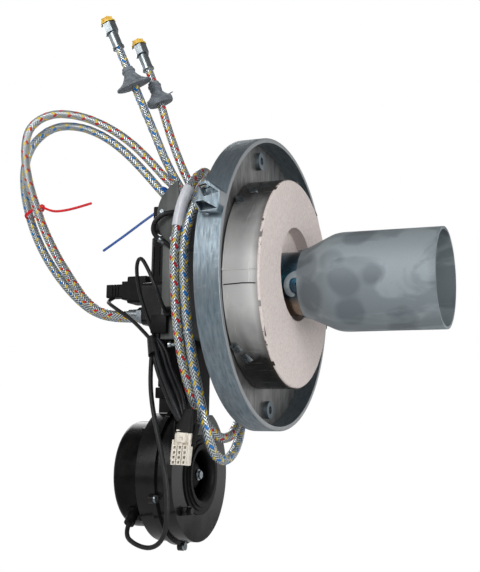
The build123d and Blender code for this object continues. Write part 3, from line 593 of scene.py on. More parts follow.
blueRoute = [
    (-0.156, 0.013, -0.031), (-0.19, 0.013, -0.031), (-0.224, 0.015, -0.021), (-0.256, 0.019, 0.003),
    (-0.286, 0.023, 0.034), (-0.312, 0.027, 0.069), (-0.333, 0.033, 0.107), (-0.349, 0.041, 0.146),
    (-0.358, 0.051, 0.184), (-0.351, 0.060, 0.219), (-0.324, 0.066, 0.240), (-0.286, 0.070, 0.238),
    (-0.25, 0.072, 0.222), (-0.218, 0.073, 0.198), (-0.188, 0.073, 0.168), (-0.16, 0.072, 0.137),
    (-0.134, 0.064, 0.114), (-0.104, 0.048, 0.112), (-0.076, 0.026, 0.118), (-0.052, 0.0, 0.12),
    (-0.045, -0.034, 0.115), (-0.0465, -0.059, 0.098), (-0.0520, -0.0700, 0.076), (-0.0575, -0.0740, 0.050),
    (-0.0585, -0.075, 0.018), (-0.0555, -0.0755, -0.016), (-0.0515, -0.0755, -0.050),
    (-0.0455, -0.0755, -0.084), (-0.038, -0.0755, -0.118), (-0.031, -0.0735, -0.150),
    (-0.0275, -0.067, -0.175), (-0.0265, -0.052, -0.192), (-0.0255, -0.030, -0.199),
    (-0.0255, -0.007, -0.194), (-0.028, 0.018, -0.180), (-0.035, 0.046, -0.157), (-0.042, 0.067, -0.124),
    (-0.049, 0.081, -0.082), (-0.056, 0.088, -0.032), (-0.064, 0.092, 0.02), (-0.084, 0.096, 0.064),
    (-0.112, 0.098, 0.102), (-0.138, 0.092, 0.136), (-0.160, 0.080, 0.178), (-0.175, 0.070, 0.22),
    (-0.19, 0.062, 0.258), (-0.205, 0.057, 0.295), (-0.221, 0.053, 0.332),
]
coilLeadRoute = [
    (-0.184, -0.004, -0.008), (-0.187, -0.013, -0.013), (-0.178, -0.024, -0.018),
    (-0.162, -0.031, -0.027), (-0.144, -0.037, -0.037), (-0.127, -0.043, -0.049),
    (-0.11, -0.05, -0.0632),
]
sensorLeadRoute = [
    (-0.084, -0.061, -0.034), (-0.082, -0.074, -0.033), (-0.086, -0.082, -0.014), (-0.097, -0.081, 0.008),
    (-0.112, -0.074, 0.028), (-0.122, -0.066, 0.020), (-0.121, -0.061, -0.006),
    (-0.113, -0.056, -0.036), (-0.104, -0.05, -0.0608),
]
loomRoute = [
    (-0.0964, -0.056, -0.081), (-0.086, -0.064, -0.102), (-0.072, -0.074, -0.122),
    (-0.059, -0.084, -0.140), (-0.049, -0.089, -0.156),
]
motorLeadRoute = [
    (-0.104, -0.056, -0.084), (-0.101, -0.064, -0.106), (-0.092, -0.077, -0.134),
    (-0.080, -0.087, -0.164), (-0.069, -0.092, -0.196), (-0.062, -0.094, -0.228),
    (-0.061, -0.093, -0.258), (-0.067, -0.089, -0.281), (-0.084, -0.082, -0.292), (-0.106, -0.075, -0.290),
    (-0.126, -0.0657, -0.2807), (-0.127, -0.0537, -0.2687),
]
sparkLeadRoute = [
    (-0.077, -0.0545, 0.080), (-0.086, -0.0600, 0.079), (-0.096, -0.0620, 0.075), (-0.1035, -0.0620, 0.067),
    (-0.1045, -0.0605, 0.057), (-0.099, -0.0575, 0.050), (-0.091, -0.0545, 0.046), (-0.085, -0.0515, 0.040),
]


def cordLine(name, route, steps=16):
    data = bpy.data.curves.new(name, "CURVE")
    data.dimensions = "3D"
    data.resolution_u = steps
    spline = data.splines.new("NURBS")
    spline.points.add(len(route) - 1)
    for point, place in zip(spline.points, route):
        point.co = (*place, 1)
    spline.order_u = 3
    spline.use_endpoint_u = True
    return linked(name, data)


def readLine(line):
    # the spline's own points in order, as the bare curve turns into a mesh
    mesh = bpy.data.meshes.new_from_object(line)
    points = np.array([v.co for v in mesh.vertices], float)
    bpy.data.meshes.remove(mesh)
    return points


def evenly(points, spacing):
    steps = np.linalg.norm(np.diff(points, axis=0), axis=1)
    along = np.concatenate([[0.0], np.cumsum(steps)])
    count = int(round(along[-1] / spacing)) + 1
    places = np.linspace(0.0, along[-1], count)
    return np.stack([np.interp(places, along, points[:, k]) for k in range(3)], axis=1), places


def frameAlong(points):
    # two directions across the line at each point, carried along without twist
    tangents = np.gradient(points, axis=0)
    tangents /= np.linalg.norm(tangents, axis=1)[:, None]
    side = np.cross(tangents[0], (0.0, 0.0, 1.0))
    side /= np.linalg.norm(side)
    sides = []
    for tangent in tangents:
        side = side - tangent * (side @ tangent)
        side /= np.linalg.norm(side)
        sides.append(side)
    sides = np.array(sides)
    return sides, np.cross(tangents, sides)


def skinTube(name, rings, around, places, closed=True):
    # rings: (count, around, 3) -> a tube with a UV map, U once round and V in metres along
    count = len(rings)
    mesh = bpy.data.meshes.new(name)
    index = np.arange(count * around).reshape(count, around)
    nextOne = np.roll(index, -1, axis=1)
    faces = np.stack([index[:-1], nextOne[:-1], nextOne[1:], index[1:]], axis=-1).reshape(-1, 4)
    caps = [list(index[0][::-1]), list(index[-1])] if closed else []
    mesh.from_pydata(rings.reshape(-1, 3), [], faces.tolist() + caps)
    uv = mesh.uv_layers.new(name="around")
    u = np.arange(around) / around
    uNext = u + 1 / around
    quads = np.zeros((count - 1, around, 4, 2))
    quads[..., 0, 0] = quads[..., 3, 0] = u
    quads[..., 1, 0] = quads[..., 2, 0] = uNext
    quads[..., 0, 1] = quads[..., 1, 1] = places[:-1, None]
    quads[..., 2, 1] = quads[..., 3, 1] = places[1:, None]
    coords = np.zeros((len(uv.data), 2))
    coords[: quads.size // 2] = quads.reshape(-1, 2)
    uv.data.foreach_set("uv", coords.ravel())
    mesh.shade_smooth()
    return linked(name, mesh)


def weaveHeight(u, v):
    heights = []
    numbers = []
    for way in (1, -1):
        along = braid["carriers"] * (u + way * v / braid["pitch"])
        number = np.floor(along)
        arch = 1 - (2 * (along - number) - 1) ** 2
        heights.append(arch ** 0.6)
        numbers.append(number)
    first = np.mod(numbers[0] + numbers[1], 4) < 1.5
    return np.where(first, heights[0], heights[1])


hose = {"radius": 0.0055, "around": 36, "spacing": 0.00115}


def braidedHose(name, route, finish):
    line = cordLine(name + "Line", route, 24)
    path = readLine(line)
    bpy.data.objects.remove(line)
    points, places = evenly(path, hose["spacing"])
    sides, ups = frameAlong(points)
    turn = np.arange(hose["around"]) / hose["around"]
    u, v = np.meshgrid(turn, places)
    radius = hose["radius"] - braid["lift"] * (1 - weaveHeight(u, v))
    out = sides[:, None, :] * np.cos(2 * pi * turn)[None, :, None]
    out = out + ups[:, None, :] * np.sin(2 * pi * turn)[None, :, None]
    rings = points[:, None, :] + out * radius[..., None]
    piece = skinTube(name, rings, hose["around"], places)
    piece.data.materials.append(finishes[finish])
    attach(piece, "burner")
    return piece, points


redHose, redPath = braidedHose("braidedHoseRed", redRoute, "braidRed")
blueHose, bluePath = braidedHose("braidedHoseBlue", blueRoute, "braidBlue")
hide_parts("hose_red")
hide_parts("hose_blue")


def jacketedLead(name, node, route, diameter):
    lead = cordLine(name, route, 12)
    lead.data.bevel_depth = diameter / 2
    lead.data.bevel_resolution = 5
    lead.data.use_fill_caps = True
    lead.data.materials.append(finishes["jacket"])
    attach(lead, "burner")
    if node:
        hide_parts(node)
    return lead


def takeShape(work):
    work.verts.ensure_lookup_table()
    shape = [v.co.copy() for v in work.verts], [[v.index for v in f.verts] for f in work.faces]
    work.free()
    return shape


def boxShape(low, high, bevel=0.0005):
    work = bmesh.new()
    bmesh.ops.create_cube(work, size=1.0)
    centre, size = (Vector(low) + Vector(high)) / 2, Vector(high) - Vector(low)
    for v in work.verts:
        v.co = centre + Vector([v.co[k] * size[k] for k in range(3)])
    if bevel:
        bmesh.ops.bevel(work, geom=work.edges[:], offset=bevel, segments=2, profile=0.5, affect="EDGES")
    return takeShape(work)


def plateShape(outline, depth, bevel=0.0005):
    # an outline in X and Y, as thick as depth along Z
    work = bmesh.new()
    foot = work.faces.new([work.verts.new((x, y, 0)) for x, y in outline])
    top = bmesh.ops.extrude_face_region(work, geom=[foot])["geom"]
    bmesh.ops.translate(work, verts=[g for g in top if isinstance(g, bmesh.types.BMVert)], vec=(0, 0, depth))
    bmesh.ops.recalc_face_normals(work, faces=work.faces[:])
    if bevel:
        bmesh.ops.bevel(work, geom=work.edges[:], offset=bevel, segments=2, profile=0.5, affect="EDGES")
    return takeShape(work)


def skinFaces(rows, around, closed=False, capped=False):
    # quads between rows of points, with an end face on each end where capped
    faces = []
    for row in range(rows if closed else rows - 1):
        a, b = row * around, ((row + 1) % rows) * around
        faces += [[a + i, a + (i + 1) % around, b + (i + 1) % around, b + i] for i in range(around)]
    if capped:
        faces += [list(range(around))[::-1], [(rows - 1) * around + i for i in range(around)]]
    return faces


def turnedShape(profile, around=48, closed=False):
    # radius and height pairs turned about Z, closed for a ring, or with ends on the axis
    verts = []
    for radius, height in profile:
        for i in range(around):
            angle = 2 * pi * i / around
            verts.append(Vector((radius * cos(angle), radius * sin(angle), height)))
    return verts, skinFaces(len(profile), around, closed)


def sliced(shape, step):
    # extra edges across Y, so that a plate can be bent round X
    work = bmesh.new()
    verts = [work.verts.new(v) for v in shape[0]]
    for face in shape[1]:
        work.faces.new([verts[i] for i in face])
    low, high = min(v.y for v in shape[0]), max(v.y for v in shape[0])
    for place in np.arange(low + step, high, step):
        parts = work.verts[:] + work.edges[:] + work.faces[:]
        bmesh.ops.bisect_plane(work, geom=parts, plane_co=(0, place, 0), plane_no=(0, 1, 0))
    return takeShape(work)


def placed(shape, origin=(0, 0, 0), zWay=(0, 0, 1), xWay=(1, 0, 0)):
    z = Vector(zWay).normalized()
    x = Vector(xWay)
    x = (x - z * x.dot(z)).normalized()
    turn = Matrix((x, z.cross(x), z)).transposed()
    return [turn @ v + Vector(origin) for v in shape[0]], shape[1]


def makePiece(name, shapes, finish, body, angle=35):
    verts, faces = [], []
    for shapeVerts, shapeFaces in shapes:
        faces += [[i + len(verts) for i in face] for face in shapeFaces]
        verts += shapeVerts
    mesh = bpy.data.meshes.new(name)
    mesh.from_pydata([tuple(v) for v in verts], [], faces)
    work = bmesh.new()
    work.from_mesh(mesh)
    bmesh.ops.remove_doubles(work, verts=work.verts, dist=1e-6)
    bmesh.ops.recalc_face_normals(work, faces=work.faces)
    work.to_mesh(mesh)
    work.free()
    return showPiece(name, mesh, finish, body, angle)


def showPiece(name, mesh, finish, body, angle=35):
    mesh.materials.clear()
    mesh.materials.append(finishes[finish])
    mesh.shade_smooth()
    mesh.set_sharp_from_angle(angle=radians(angle))
    piece = linked(name, mesh)
    if body:
        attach(piece, body)
    return piece


def settled(carrier, name):
    # the evaluated object as a plain mesh, and the carrier gone
    bpy.context.view_layer.update()
    mesh = bpy.data.meshes.new_from_object(carrier.evaluated_get(bpy.context.evaluated_depsgraph_get()))
    mesh.name = name
    bpy.data.objects.remove(carrier)
    return mesh


def carved(name, whole, cutters, finish, body, angle=35):
    block = makePiece(name + "Block", whole, finish, None)
    knife = makePiece(name + "Knife", cutters, finish, None)
    cut = block.modifiers.new("cut", "BOOLEAN")
    cut.object, cut.operation, cut.solver = knife, "DIFFERENCE", "EXACT"
    cut.use_self = True
    mesh = settled(block, name)
    bpy.data.objects.remove(knife)
    return showPiece(name, mesh, finish, body, angle)


def newTree(name, inputs):
    tree = bpy.data.node_groups.new(name, "GeometryNodeTree")
    tree.interface.new_socket("Geometry", in_out="INPUT", socket_type="NodeSocketGeometry")
    tree.interface.new_socket("Geometry", in_out="OUTPUT", socket_type="NodeSocketGeometry")
    for label, kind, value in [*inputs, ("Material", "Material", None)]:
        item = tree.interface.new_socket(label, in_out="INPUT", socket_type="NodeSocket" + kind)
        if value is not None:
            item.default_value = value
    return tree, tree.nodes.new("NodeGroupInput").outputs


def endTree(tree, geometry, given):
    real = nodeOut(tree, "GeometryNodeRealizeInstances", {0: geometry})
    clothed = nodeOut(tree, "GeometryNodeSetMaterial", {"Geometry": real, "Material": given["Material"]})
    addNode(tree, "NodeGroupOutput", {0: clothed})
    return tree


def joined(tree, *parts):
    node = addNode(tree, "GeometryNodeJoinGeometry")
    for part in parts:
        tree.links.new(part, node.inputs[0])
    return node.outputs[0]


def instancesOn(tree, points, shape, **links):
    return nodeOut(tree, "GeometryNodeInstanceOnPoints", {"Points": points, "Instance": shape, **links})


def screwTree():
    # a head and washer on every point, its top towards the point's own aim
    tree, given = newTree("screwRow", [("Radius", "Float", 0.004), ("Height", "Float", 0.003),
                                       ("Sides", "Int", 6), ("Washer", "Float", 1.5)])
    head = nodeOut(tree, "GeometryNodeMeshCylinder", {"Vertices": given["Sides"], "Radius": given["Radius"],
                                                      "Depth": given["Height"]})
    lift = nodeOut(tree, "ShaderNodeCombineXYZ", {2: times(tree, given["Height"], 0.6)})
    head = nodeOut(tree, "GeometryNodeTransform", {"Geometry": head, "Translation": lift})
    wide = times(tree, given["Radius"], given["Washer"])
    thin = times(tree, given["Height"], 0.25)
    washer = nodeOut(tree, "GeometryNodeMeshCylinder", {"Vertices": 28, "Radius": wide, "Depth": thin})
    both = joined(tree, head, washer)
    aim = nodeOut(tree, "GeometryNodeInputNamedAttribute", {"Name": "aim"}, data_type="FLOAT_VECTOR")
    turn = nodeOut(tree, "FunctionNodeAlignRotationToVector", {"Vector": aim}, axis="Z")
    return endTree(tree, instancesOn(tree, given["Geometry"], both, Rotation=turn), given)


def strapTree():
    # a flat strap along a line of edges, with fine teeth across it
    tree, given = newTree("toothedStrap", [("Width", "Float", 0.0036), ("Thick", "Float", 0.0011),
                                           ("Pitch", "Float", 0.0018), ("Tooth", "Float", 0.0007)])
    line = nodeOut(tree, "GeometryNodeMeshToCurve", {"Mesh": given["Geometry"]})
    section = nodeOut(tree, "GeometryNodeCurvePrimitiveQuadrilateral",
                      {"Width": given["Thick"], "Height": given["Width"]})
    strap = nodeOut(tree, "GeometryNodeCurveToMesh",
                    {"Curve": line, "Profile Curve": section, "Fill Caps": True})
    steps = nodeOut(tree, "GeometryNodeResampleCurve", {"Curve": line, "Length": given["Pitch"]},
                    mode="LENGTH")
    wide = times(tree, given["Width"], 0.72)
    deep = plus(tree, given["Thick"], given["Tooth"])
    size = addNode(tree, "ShaderNodeCombineXYZ", {0: deep, 1: wide, 2: times(tree, given["Pitch"], 0.5)})
    tooth = nodeOut(tree, "GeometryNodeMeshCube", {"Size": size.outputs[0]})
    way = nodeOut(tree, "GeometryNodeInputTangent")
    turn = nodeOut(tree, "FunctionNodeAlignRotationToVector", {"Vector": way}, axis="Z")
    teeth = instancesOn(tree, steps, tooth, Rotation=turn)
    both = joined(tree, strap, teeth)
    return endTree(tree, both, given)


def crumbTree():
    # crumbs strewn over a surface, with sizes and turns from one seed
    tree, given = newTree("edgeCrumbs", [("Density", "Float", 9000.0), ("Size", "Float", 0.0006),
                                         ("Flat", "Float", 0.5), ("Seed", "Int", 3)])
    points = addNode(tree, "GeometryNodeDistributePointsOnFaces",
                     {"Mesh": given["Geometry"], "Density": given["Density"], "Seed": given["Seed"]})
    crumb = nodeOut(tree, "GeometryNodeMeshIcoSphere", {"Radius": given["Size"], "Subdivisions": 1})
    low = addNode(tree, "ShaderNodeCombineXYZ", {0: 0.5, 1: 0.5, 2: times(tree, given["Flat"], 0.6)})
    high = addNode(tree, "ShaderNodeCombineXYZ", {0: 2.2, 1: 1.5, 2: given["Flat"]})
    size = nodeOut(tree, "FunctionNodeRandomValue",
                   {0: low.outputs[0], 1: high.outputs[0], 8: given["Seed"]}, data_type="FLOAT_VECTOR")
    spin = nodeOut(tree, "FunctionNodeRandomValue", {0: (0, 0, 0), 1: (0, 0, 6.28), 8: given["Seed"]},
                   data_type="FLOAT_VECTOR")
    spin = nodeOut(tree, "FunctionNodeEulerToRotation", {0: spin})
    turn = nodeOut(tree, "FunctionNodeRotateRotation", {0: points.outputs["Rotation"], 1: spin},
                   rotation_space="LOCAL")
    return endTree(tree, instancesOn(tree, points.outputs[0], crumb, Rotation=turn, Scale=size), given)


def socketTree():
    # columns and rows of square sockets, each with a stepped mouth
    tree, given = newTree("socketGrid", [("Columns", "Int", 3), ("Rows", "Int", 4),
                                         ("Across", "Float", 0.006), ("Down", "Float", 0.0056),
                                         ("Bore", "Float", 0.0030),
                                         ("Wall", "Float", 0.0011), ("Depth", "Float", 0.004)])
    wide = times(tree, calc(tree, "SUBTRACT", given["Columns"], 1.0), given["Across"])
    tall = times(tree, calc(tree, "SUBTRACT", given["Rows"], 1.0), given["Down"])
    size = {"Size X": wide, "Size Y": tall, "Vertices X": given["Columns"], "Vertices Y": given["Rows"]}
    grid = nodeOut(tree, "GeometryNodeMeshGrid", size)
    outer = plus(tree, given["Bore"], times(tree, given["Wall"], 2.0))
    shell = nodeOut(tree, "ShaderNodeCombineXYZ", {0: outer, 1: outer, 2: given["Depth"]})
    hole = nodeOut(tree, "ShaderNodeCombineXYZ", {0: given["Bore"], 1: given["Bore"], 2: 0.1})
    shell = nodeOut(tree, "GeometryNodeMeshCube", {"Size": shell})
    hole = nodeOut(tree, "GeometryNodeMeshCube", {"Size": hole})
    cup = nodeOut(tree, "GeometryNodeMeshBoolean", {0: shell, 1: hole}, operation="DIFFERENCE")
    return endTree(tree, instancesOn(tree, grid, cup), given)


trees = {"screws": screwTree(), "strap": strapTree(), "crumbs": crumbTree(), "sockets": socketTree()}


def grow(name, treeName, carrier, values, finish, body, angle=35):
    tree = trees[treeName]
    modifier = carrier.modifiers.new("grow", "NODES")
    modifier.node_group = tree
    given = {**values, "Material": finishes[finish]}
    for item in tree.interface.items_tree:
        if item.in_out == "INPUT" and item.name in given:
            modifier[item.identifier] = given[item.name]
    return showPiece(name, settled(carrier, name), finish, body, angle)


def lineCarrier(name, places, joined=True):
    mesh = bpy.data.meshes.new(name)
    mesh.from_pydata(places, [(i, i + 1) for i in range(len(places) - 1)] if joined else [], [])
    return linked(name, mesh)


def pointCarrier(name, places, aims):
    carrier = lineCarrier(name, places, False)
    aim = carrier.data.attributes.new("aim", "FLOAT_VECTOR", "POINT")
    aim.data.foreach_set("vector", [c for way in aims for c in way])
    return carrier


def smoothLine(route, steps=12):
    line = cordLine("guide", route, steps)
    points = readLine(line)
    bpy.data.objects.remove(line)
    return points


def roundBar(route, radius, around=16, steps=12):
    # a round bar along a smooth line, capped at both ends
    points = smoothLine(route, steps)
    sides, ups = frameAlong(points)
    verts = []
    for centre, side, up in zip(points, sides, ups):
        for i in range(around):
            angle = 2 * pi * i / around
            verts.append(Vector(centre + radius * (side * cos(angle) + up * sin(angle))))
    return verts, skinFaces(len(points), around, capped=True)


print("geometry trees made")

lugs = {
    "outer": -0.1755,       # Y of the outer face
    "root": 0.024,          # depth from that face to the wall
    "wall": 0.004,          # how far the block goes into the wall
    "outline": [(0.0010, 0.0665), (0.0040, 0.0785), (0.0105, 0.0822), (0.0145, 0.0808), (0.0279, 0.0702),
                (0.0279, 0.0560), (0.0245, 0.0478), (0.0050, 0.0492), (0.0015, 0.0555), (-0.0025, 0.0598)],
    "upperPocket": [(0.0040, 0.0765), (0.0118, 0.0782), (0.0262, 0.0685), (0.0100, 0.0648)],
    "lowerPocket": [(0.0005, 0.0602), (0.0095, 0.0608), (0.0250, 0.0520), (0.0070, 0.0502)],
    "pocketDepth": 0.0150,
    "pin": (0.008, -0.1669),
    "pinRadius": 0.005,
    "pinReach": (0.03, 0.10),
    "bevel": 0.0009,
    "dishShare": 1.0006,    # a point further out than this, by the rim's ellipse, belongs to an ear
}


def trimmedNode(node, drop):
    # a merged copy of a CAD node's mesh without the points that drop() picks, closed again
    work = bmesh.new()
    work.from_mesh(cadNodes[node].data)
    bmesh.ops.remove_doubles(work, verts=work.verts, dist=1e-6)
    bmesh.ops.delete(work, geom=[v for v in work.verts if drop(v.co)], context="VERTS")
    bmesh.ops.holes_fill(work, edges=[e for e in work.edges if e.is_boundary], sides=0)
    return takeShape(work)


def doorWithLugs(look):
    # the CAD dish without its two plain ears, and the pocketed hinge block in their place
    halfY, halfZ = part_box("door")[1].yz
    dish = trimmedNode("door", lambda p: (p.y / halfY) ** 2 + (p.z / halfZ) ** 2 > look["dishShare"])
    across = {"origin": (0, look["outer"], 0), "zWay": (0, 1, 0), "xWay": (1, 0, 0)}

    def upright(outline):
        return [(x, -z) for x, z in outline]

    block = placed(plateShape(upright(look["outline"]), look["root"], look["bevel"]), **across)
    for v in block[0]:
        if v.y > look["outer"] + look["root"] / 2:
            v.y = -(halfY - look["wall"]) * (1 - (v.z / (halfZ - look["wall"])) ** 2) ** 0.5
    knives = []
    for pocket in ("upperPocket", "lowerPocket"):
        knife = plateShape(upright(look[pocket]), look["pocketDepth"] + 0.01, 0)
        knives.append(placed(knife, (0, look["outer"] - 0.01, 0), (0, 1, 0)))
    radius, (low, high) = look["pinRadius"], look["pinReach"]
    bore = turnedShape([(0, low), (radius, low), (radius, high), (0, high)], 32)
    knives.append(placed(bore, (*look["pin"], 0)))
    carved("hingeLugs", [block], knives, "castDoor", "burner", 30)
    door = makePiece("castDoorDish", [dish], "castDoor", "burner", 32)
    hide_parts("door")


doorWithLugs(lugs)
print("door and hinge lugs made")

collar = {
    "back": 0.061,          # X of the flame tube's rear edge
    "tubeRadius": 0.036,
    "inner": 0.0364, "outer": 0.0391,
    "count": 3,
    "slice": 0.0015,        # a hook has an edge this often, to bend round the tube
    "bevel": 0.0004,
    "cadPins": (0.045, 0.058),
    "curl": [(0.0640, 0.0105), (0.0570, 0.0085), (0.0506, 0.0045), (0.0466, -0.0020), (0.0458, -0.0095),
             (0.0476, -0.0170), (0.0530, -0.0208), (0.0576, -0.0200), (0.0580, -0.0166), (0.0550, -0.0160),
             (0.0520, -0.0116), (0.0520, -0.0040), (0.0546, 0.0006), (0.0592, 0.0008), (0.0640, 0.0008)],
    "pinX": 0.0574, "pinAround": -0.0060, "pinRadius": 0.0017, "pinTop": 0.0391,
}


def bayonet(look):
    tubeRadius, outer, bevel = look["tubeRadius"], look["outer"], look["bevel"]
    turns = [2 * pi * i / look["count"] for i in range(look["count"])]
    outline = [(p[0], p[1]) for p in smoothLine([(x, s, 0.0) for x, s in look["curl"]], 6)]
    hooks = []
    for turn in turns:
        flat = sliced(plateShape(outline, outer - look["inner"], bevel), look["slice"])
        for v in flat[0]:
            radius, angle = look["inner"] + v.z, turn + v.y / outer
            v.y, v.z = -radius * cos(angle), radius * sin(angle)
        hooks.append(flat)
    mouth = trimmedNode("flame_tube", lambda p: p.x < look["back"] - 0.0003)
    tube = makePiece("hookedFlameTube", [mouth, *hooks], "ceramic", "flame_head", 32)
    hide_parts("flame_tube")
    r, low, high = look["pinRadius"], tubeRadius - 0.0006, look["pinTop"]
    pin = [(0.0, low), (r, low), (r, high - bevel), (r - bevel, high), (0.0, high)]
    pins = []
    for turn in turns:
        angle = turn + look["pinAround"] / outer
        pins.append(placed(turnedShape(pin, 24), (look["pinX"], 0, 0), (0, -cos(angle), sin(angle))))
    start, end = look["cadPins"]

    def oldPin(p):
        return (p.y ** 2 + p.z ** 2) ** 0.5 > tubeRadius + 0.0004 and start < p.x < end

    inner = [trimmedNode("mixing_tube", oldPin), *pins]
    inner = makePiece("pinnedMixingTube", inner, "blued", "burner", 32)
    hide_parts("mixing_tube")


bayonet(collar)
print("bayonet hooks made")

boots = {
    "lean": Vector((0.377, -0.914, -0.148)),
    "slope": 0.22, "slopeFrom": 0.013, "slopeOver": 0.009,
    "clear": 0.0002,
    "rim": ((0.93, 1.0), (0.99, 0.75), (1.0, 0.3)),     # shares of the foot's radius and thickness
    "cone": ((0.97, 0.0003), (0.80, 0.0020), (0.58, 0.0058), (0.44, 0.0100)),   # share of the radius, height
    "stem": [(0.0083, 0.0142), (0.0078, 0.0175), (0.0089, 0.0182), (0.0089, 0.0202), (0.0076, 0.0212),
             (0.0074, 0.0240)],
    "top": 0.0245,
    # CAD node, route, height on the hose, foot radius, foot thickness
    "bootBlue": ("wall_boot_blue", blueRoute, 0.283, 0.0240, 0.0030),
    "bootRed": ("wall_boot_red", redRoute, 0.268, 0.0175, 0.0080),
}


def wallBoot(name, look):
    node, route, height, foot, thick = look[name]
    points = smoothLine(route, 24)
    end = points[len(points) // 2:]
    place = end[np.argmin(np.abs(end[:, 2] - height))]
    way = Vector(end[-1] - place)
    bore = hose["radius"] + look["clear"]
    profile = [(bore, -thick), *((foot * a, -thick * b) for a, b in look["rim"]),
               *((foot * a, b) for a, b in look["cone"]), *look["stem"], (bore, look["top"])]
    shapes = [placed(turnedShape(profile, 64, closed=True), place, way)]
    # the foot hangs lower on its near side than square to the hose
    along = way.normalized()
    near = (look["lean"] - along * look["lean"].dot(along)).normalized()
    for v in shapes[0][0]:
        away = v - Vector(place)
        share = min(max((look["slopeFrom"] - away.dot(along)) / look["slopeOver"], 0.0), 1.0)
        v -= along * away.dot(near) * look["slope"] * share
    if name == "bootRed":
        # the pull tab of its foot
        side = Vector((1, -0.25, 0.25))
        start = Vector(place) + side.normalized() * foot * 0.9
        shapes.append(roundBar([start, start + side * 0.0035, start + side * 0.0075], 0.0007, 8))
    boot = makePiece(name, shapes, "rubber", "burner", 50)
    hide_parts(node)
    return boot


bootPieces = {name: wallBoot(name, boots) for name in ("bootBlue", "bootRed")}
print("wall boots made")

ties = {
    "width": 0.0036, "thick": 0.0012, "clear": 0.0004, "tailWidth": 0.0030,
    "headSize": (0.0046, 0.0060, 0.0055),
    # each tie: middle of its loop, the hoses' way, where its head sits, half the loop's straight and the
    # radius of its ends, the points of its tail, its slot
    "each": {
        "tieRed": ((-0.3215, 0.0265, 0.113), (-0.45, 0.15, 0.88), (1.0, -0.1, 0.5), (0.0066, 0.0060),
                   [(-0.296, 0.025, 0.112), (-0.276, 0.025, 0.112), (-0.256, 0.025, 0.115),
                    (-0.237, 0.025, 0.119)], "braid_red"),
        "tieBlue": ((-0.150, 0.071, 0.135), (-0.7, 0.05, -0.7), (-0.6, 0.0, -0.8), (0.0066, 0.0062),
                    [(-0.176, 0.064, 0.104), (-0.196, 0.062, 0.090), (-0.216, 0.061, 0.077),
                     (-0.237, 0.060, 0.064)], "braid_blue"),
    },
}


def bundleLoop(centre, way, out, radii, clear):
    # a loop round two hoses side by side: half circles joined by straights
    way, out = Vector(way).normalized(), Vector(out)
    out = (out - way * out.dot(way)).normalized()
    over = way.cross(out)
    half, small = radii
    places = []
    for i in range(41):
        angle = 2 * pi * i / 40
        shift = half if cos(angle) >= 0 else -half
        reach = small + clear
        places.append(Vector(centre) + out * (shift + reach * cos(angle)) + over * reach * sin(angle))
    return places, out


def cableTie(name, look):
    centre, way, out, radii, tail, slot = look["each"][name]
    places, out = bundleLoop(centre, way, out, radii, look["clear"] + look["thick"] / 2)
    values = {"Width": look["width"], "Thick": look["thick"], "Pitch": 0.0019, "Tooth": 0.0003}
    grow(name + "Loop", "strap", lineCarrier(name, places), values, name, "burner")
    strand = [tuple(p) for p in smoothLine([places[0], *tail], 10)]
    values = {**values, "Width": look["tailWidth"], "Tooth": 0.0005}
    grow(name + "Tail", "strap", lineCarrier(name, strand), values, name, "burner")
    size = Vector(look["headSize"]) / 2
    head = placed(boxShape(-size, size, 0.0007), places[0], way, out)
    makePiece(name + "Head", [head], name, "burner")


for tieName in ties["each"]:
    cableTie(tieName, ties)
print("cable ties made")

plugHousing = {
    "centre": (-0.0455, -0.0925, -0.1855), "depth": 0.0110, "height": 0.0345,
    "lean": 0.10,           # how far the foot goes to the side, for the height
    # low corner, high corner and bevel: X from the middle, Y from the front, Z from the top
    "blocks": [((-0.0095, 0.002, -0.0345), (0.0095, 0.0110, 0), 0.0012),
               ((-0.0075, 0.0005, -0.0035), (0.0055, 0.0110, 0.0022), 0.0008),
               ((-0.0052, -0.0024, -0.0110), (0.0052, 0.003, -0.0005), 0.0006),
               ((-0.0018, -0.0010, -0.0140), (0.0018, 0.003, -0.0105), 0.0004),
               ((-0.0107, 0, -0.0305), (-0.0089, 0.0090, -0.009), 0.0005),
               ((0.0083, 0, -0.0305), (0.0101, 0.0090, -0.009), 0.0005)],
    "cuts": [((-0.0024, -0.004, -0.0066), (0.0024, -0.0012, -0.0050), 0),
             ((0.0014, -0.004, -0.0082), (0.0024, -0.0012, -0.0050), 0)],
    "socketsUp": 0.0105, "socketsIn": 0.0005,
    "sockets": {"Columns": 3, "Rows": 4, "Across": 0.0061, "Down": 0.0052, "Bore": 0.0029, "Wall": 0.00105,
                "Depth": 0.0050},
}


def connector(look):
    front, top = -look["depth"] / 2, look["height"] / 2
    up = Vector((look["lean"], 0.0, 1.0)).normalized()
    corner = Vector((0, front, top))

    def boxes(rows):
        return [placed(boxShape(corner + Vector(low), corner + Vector(high), bevel), look["centre"], up)
                for low, high, bevel in rows]

    body = carved("connectorBody", boxes(look["blocks"]), boxes(look["cuts"]),
                  "ivory", "burner")
    carrier = pointCarrier("socketSeed", [(0, 0, 0)], [(0, 0, 1)])
    cups = grow("connectorSockets", "sockets", carrier, look["sockets"], "ivory", None, 30)
    place = Vector(look["centre"]) + up * (look["socketsUp"] - top)
    place.y += front + look["socketsIn"]
    turn = Matrix((Vector((1, 0, 0)), up, Vector((0, -1, 0)))).transposed().to_4x4()
    cups.data.transform(Matrix.Translation(place) @ turn)
    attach(cups, "burner")
    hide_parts("loom_connector")
    return body, cups


connectorBody, connectorCups = connector(plugHousing)

plugHood = {
    "foot": (-0.0435, -0.0905, -0.1690), "top": (-0.0395, -0.0870, -0.1440),
    "footSize": (0.0225, 0.0150), "topSize": (0.0125, 0.0110),
    "rows": ((0.0, 1.0), (0.12, 1.0), (0.5, 1.0), (0.85, 1.0), (1.0, 0.96)),     # share of the height, width
    "around": 32,
    "flapX": 0.0118, "flapHalf": 0.0008,
}


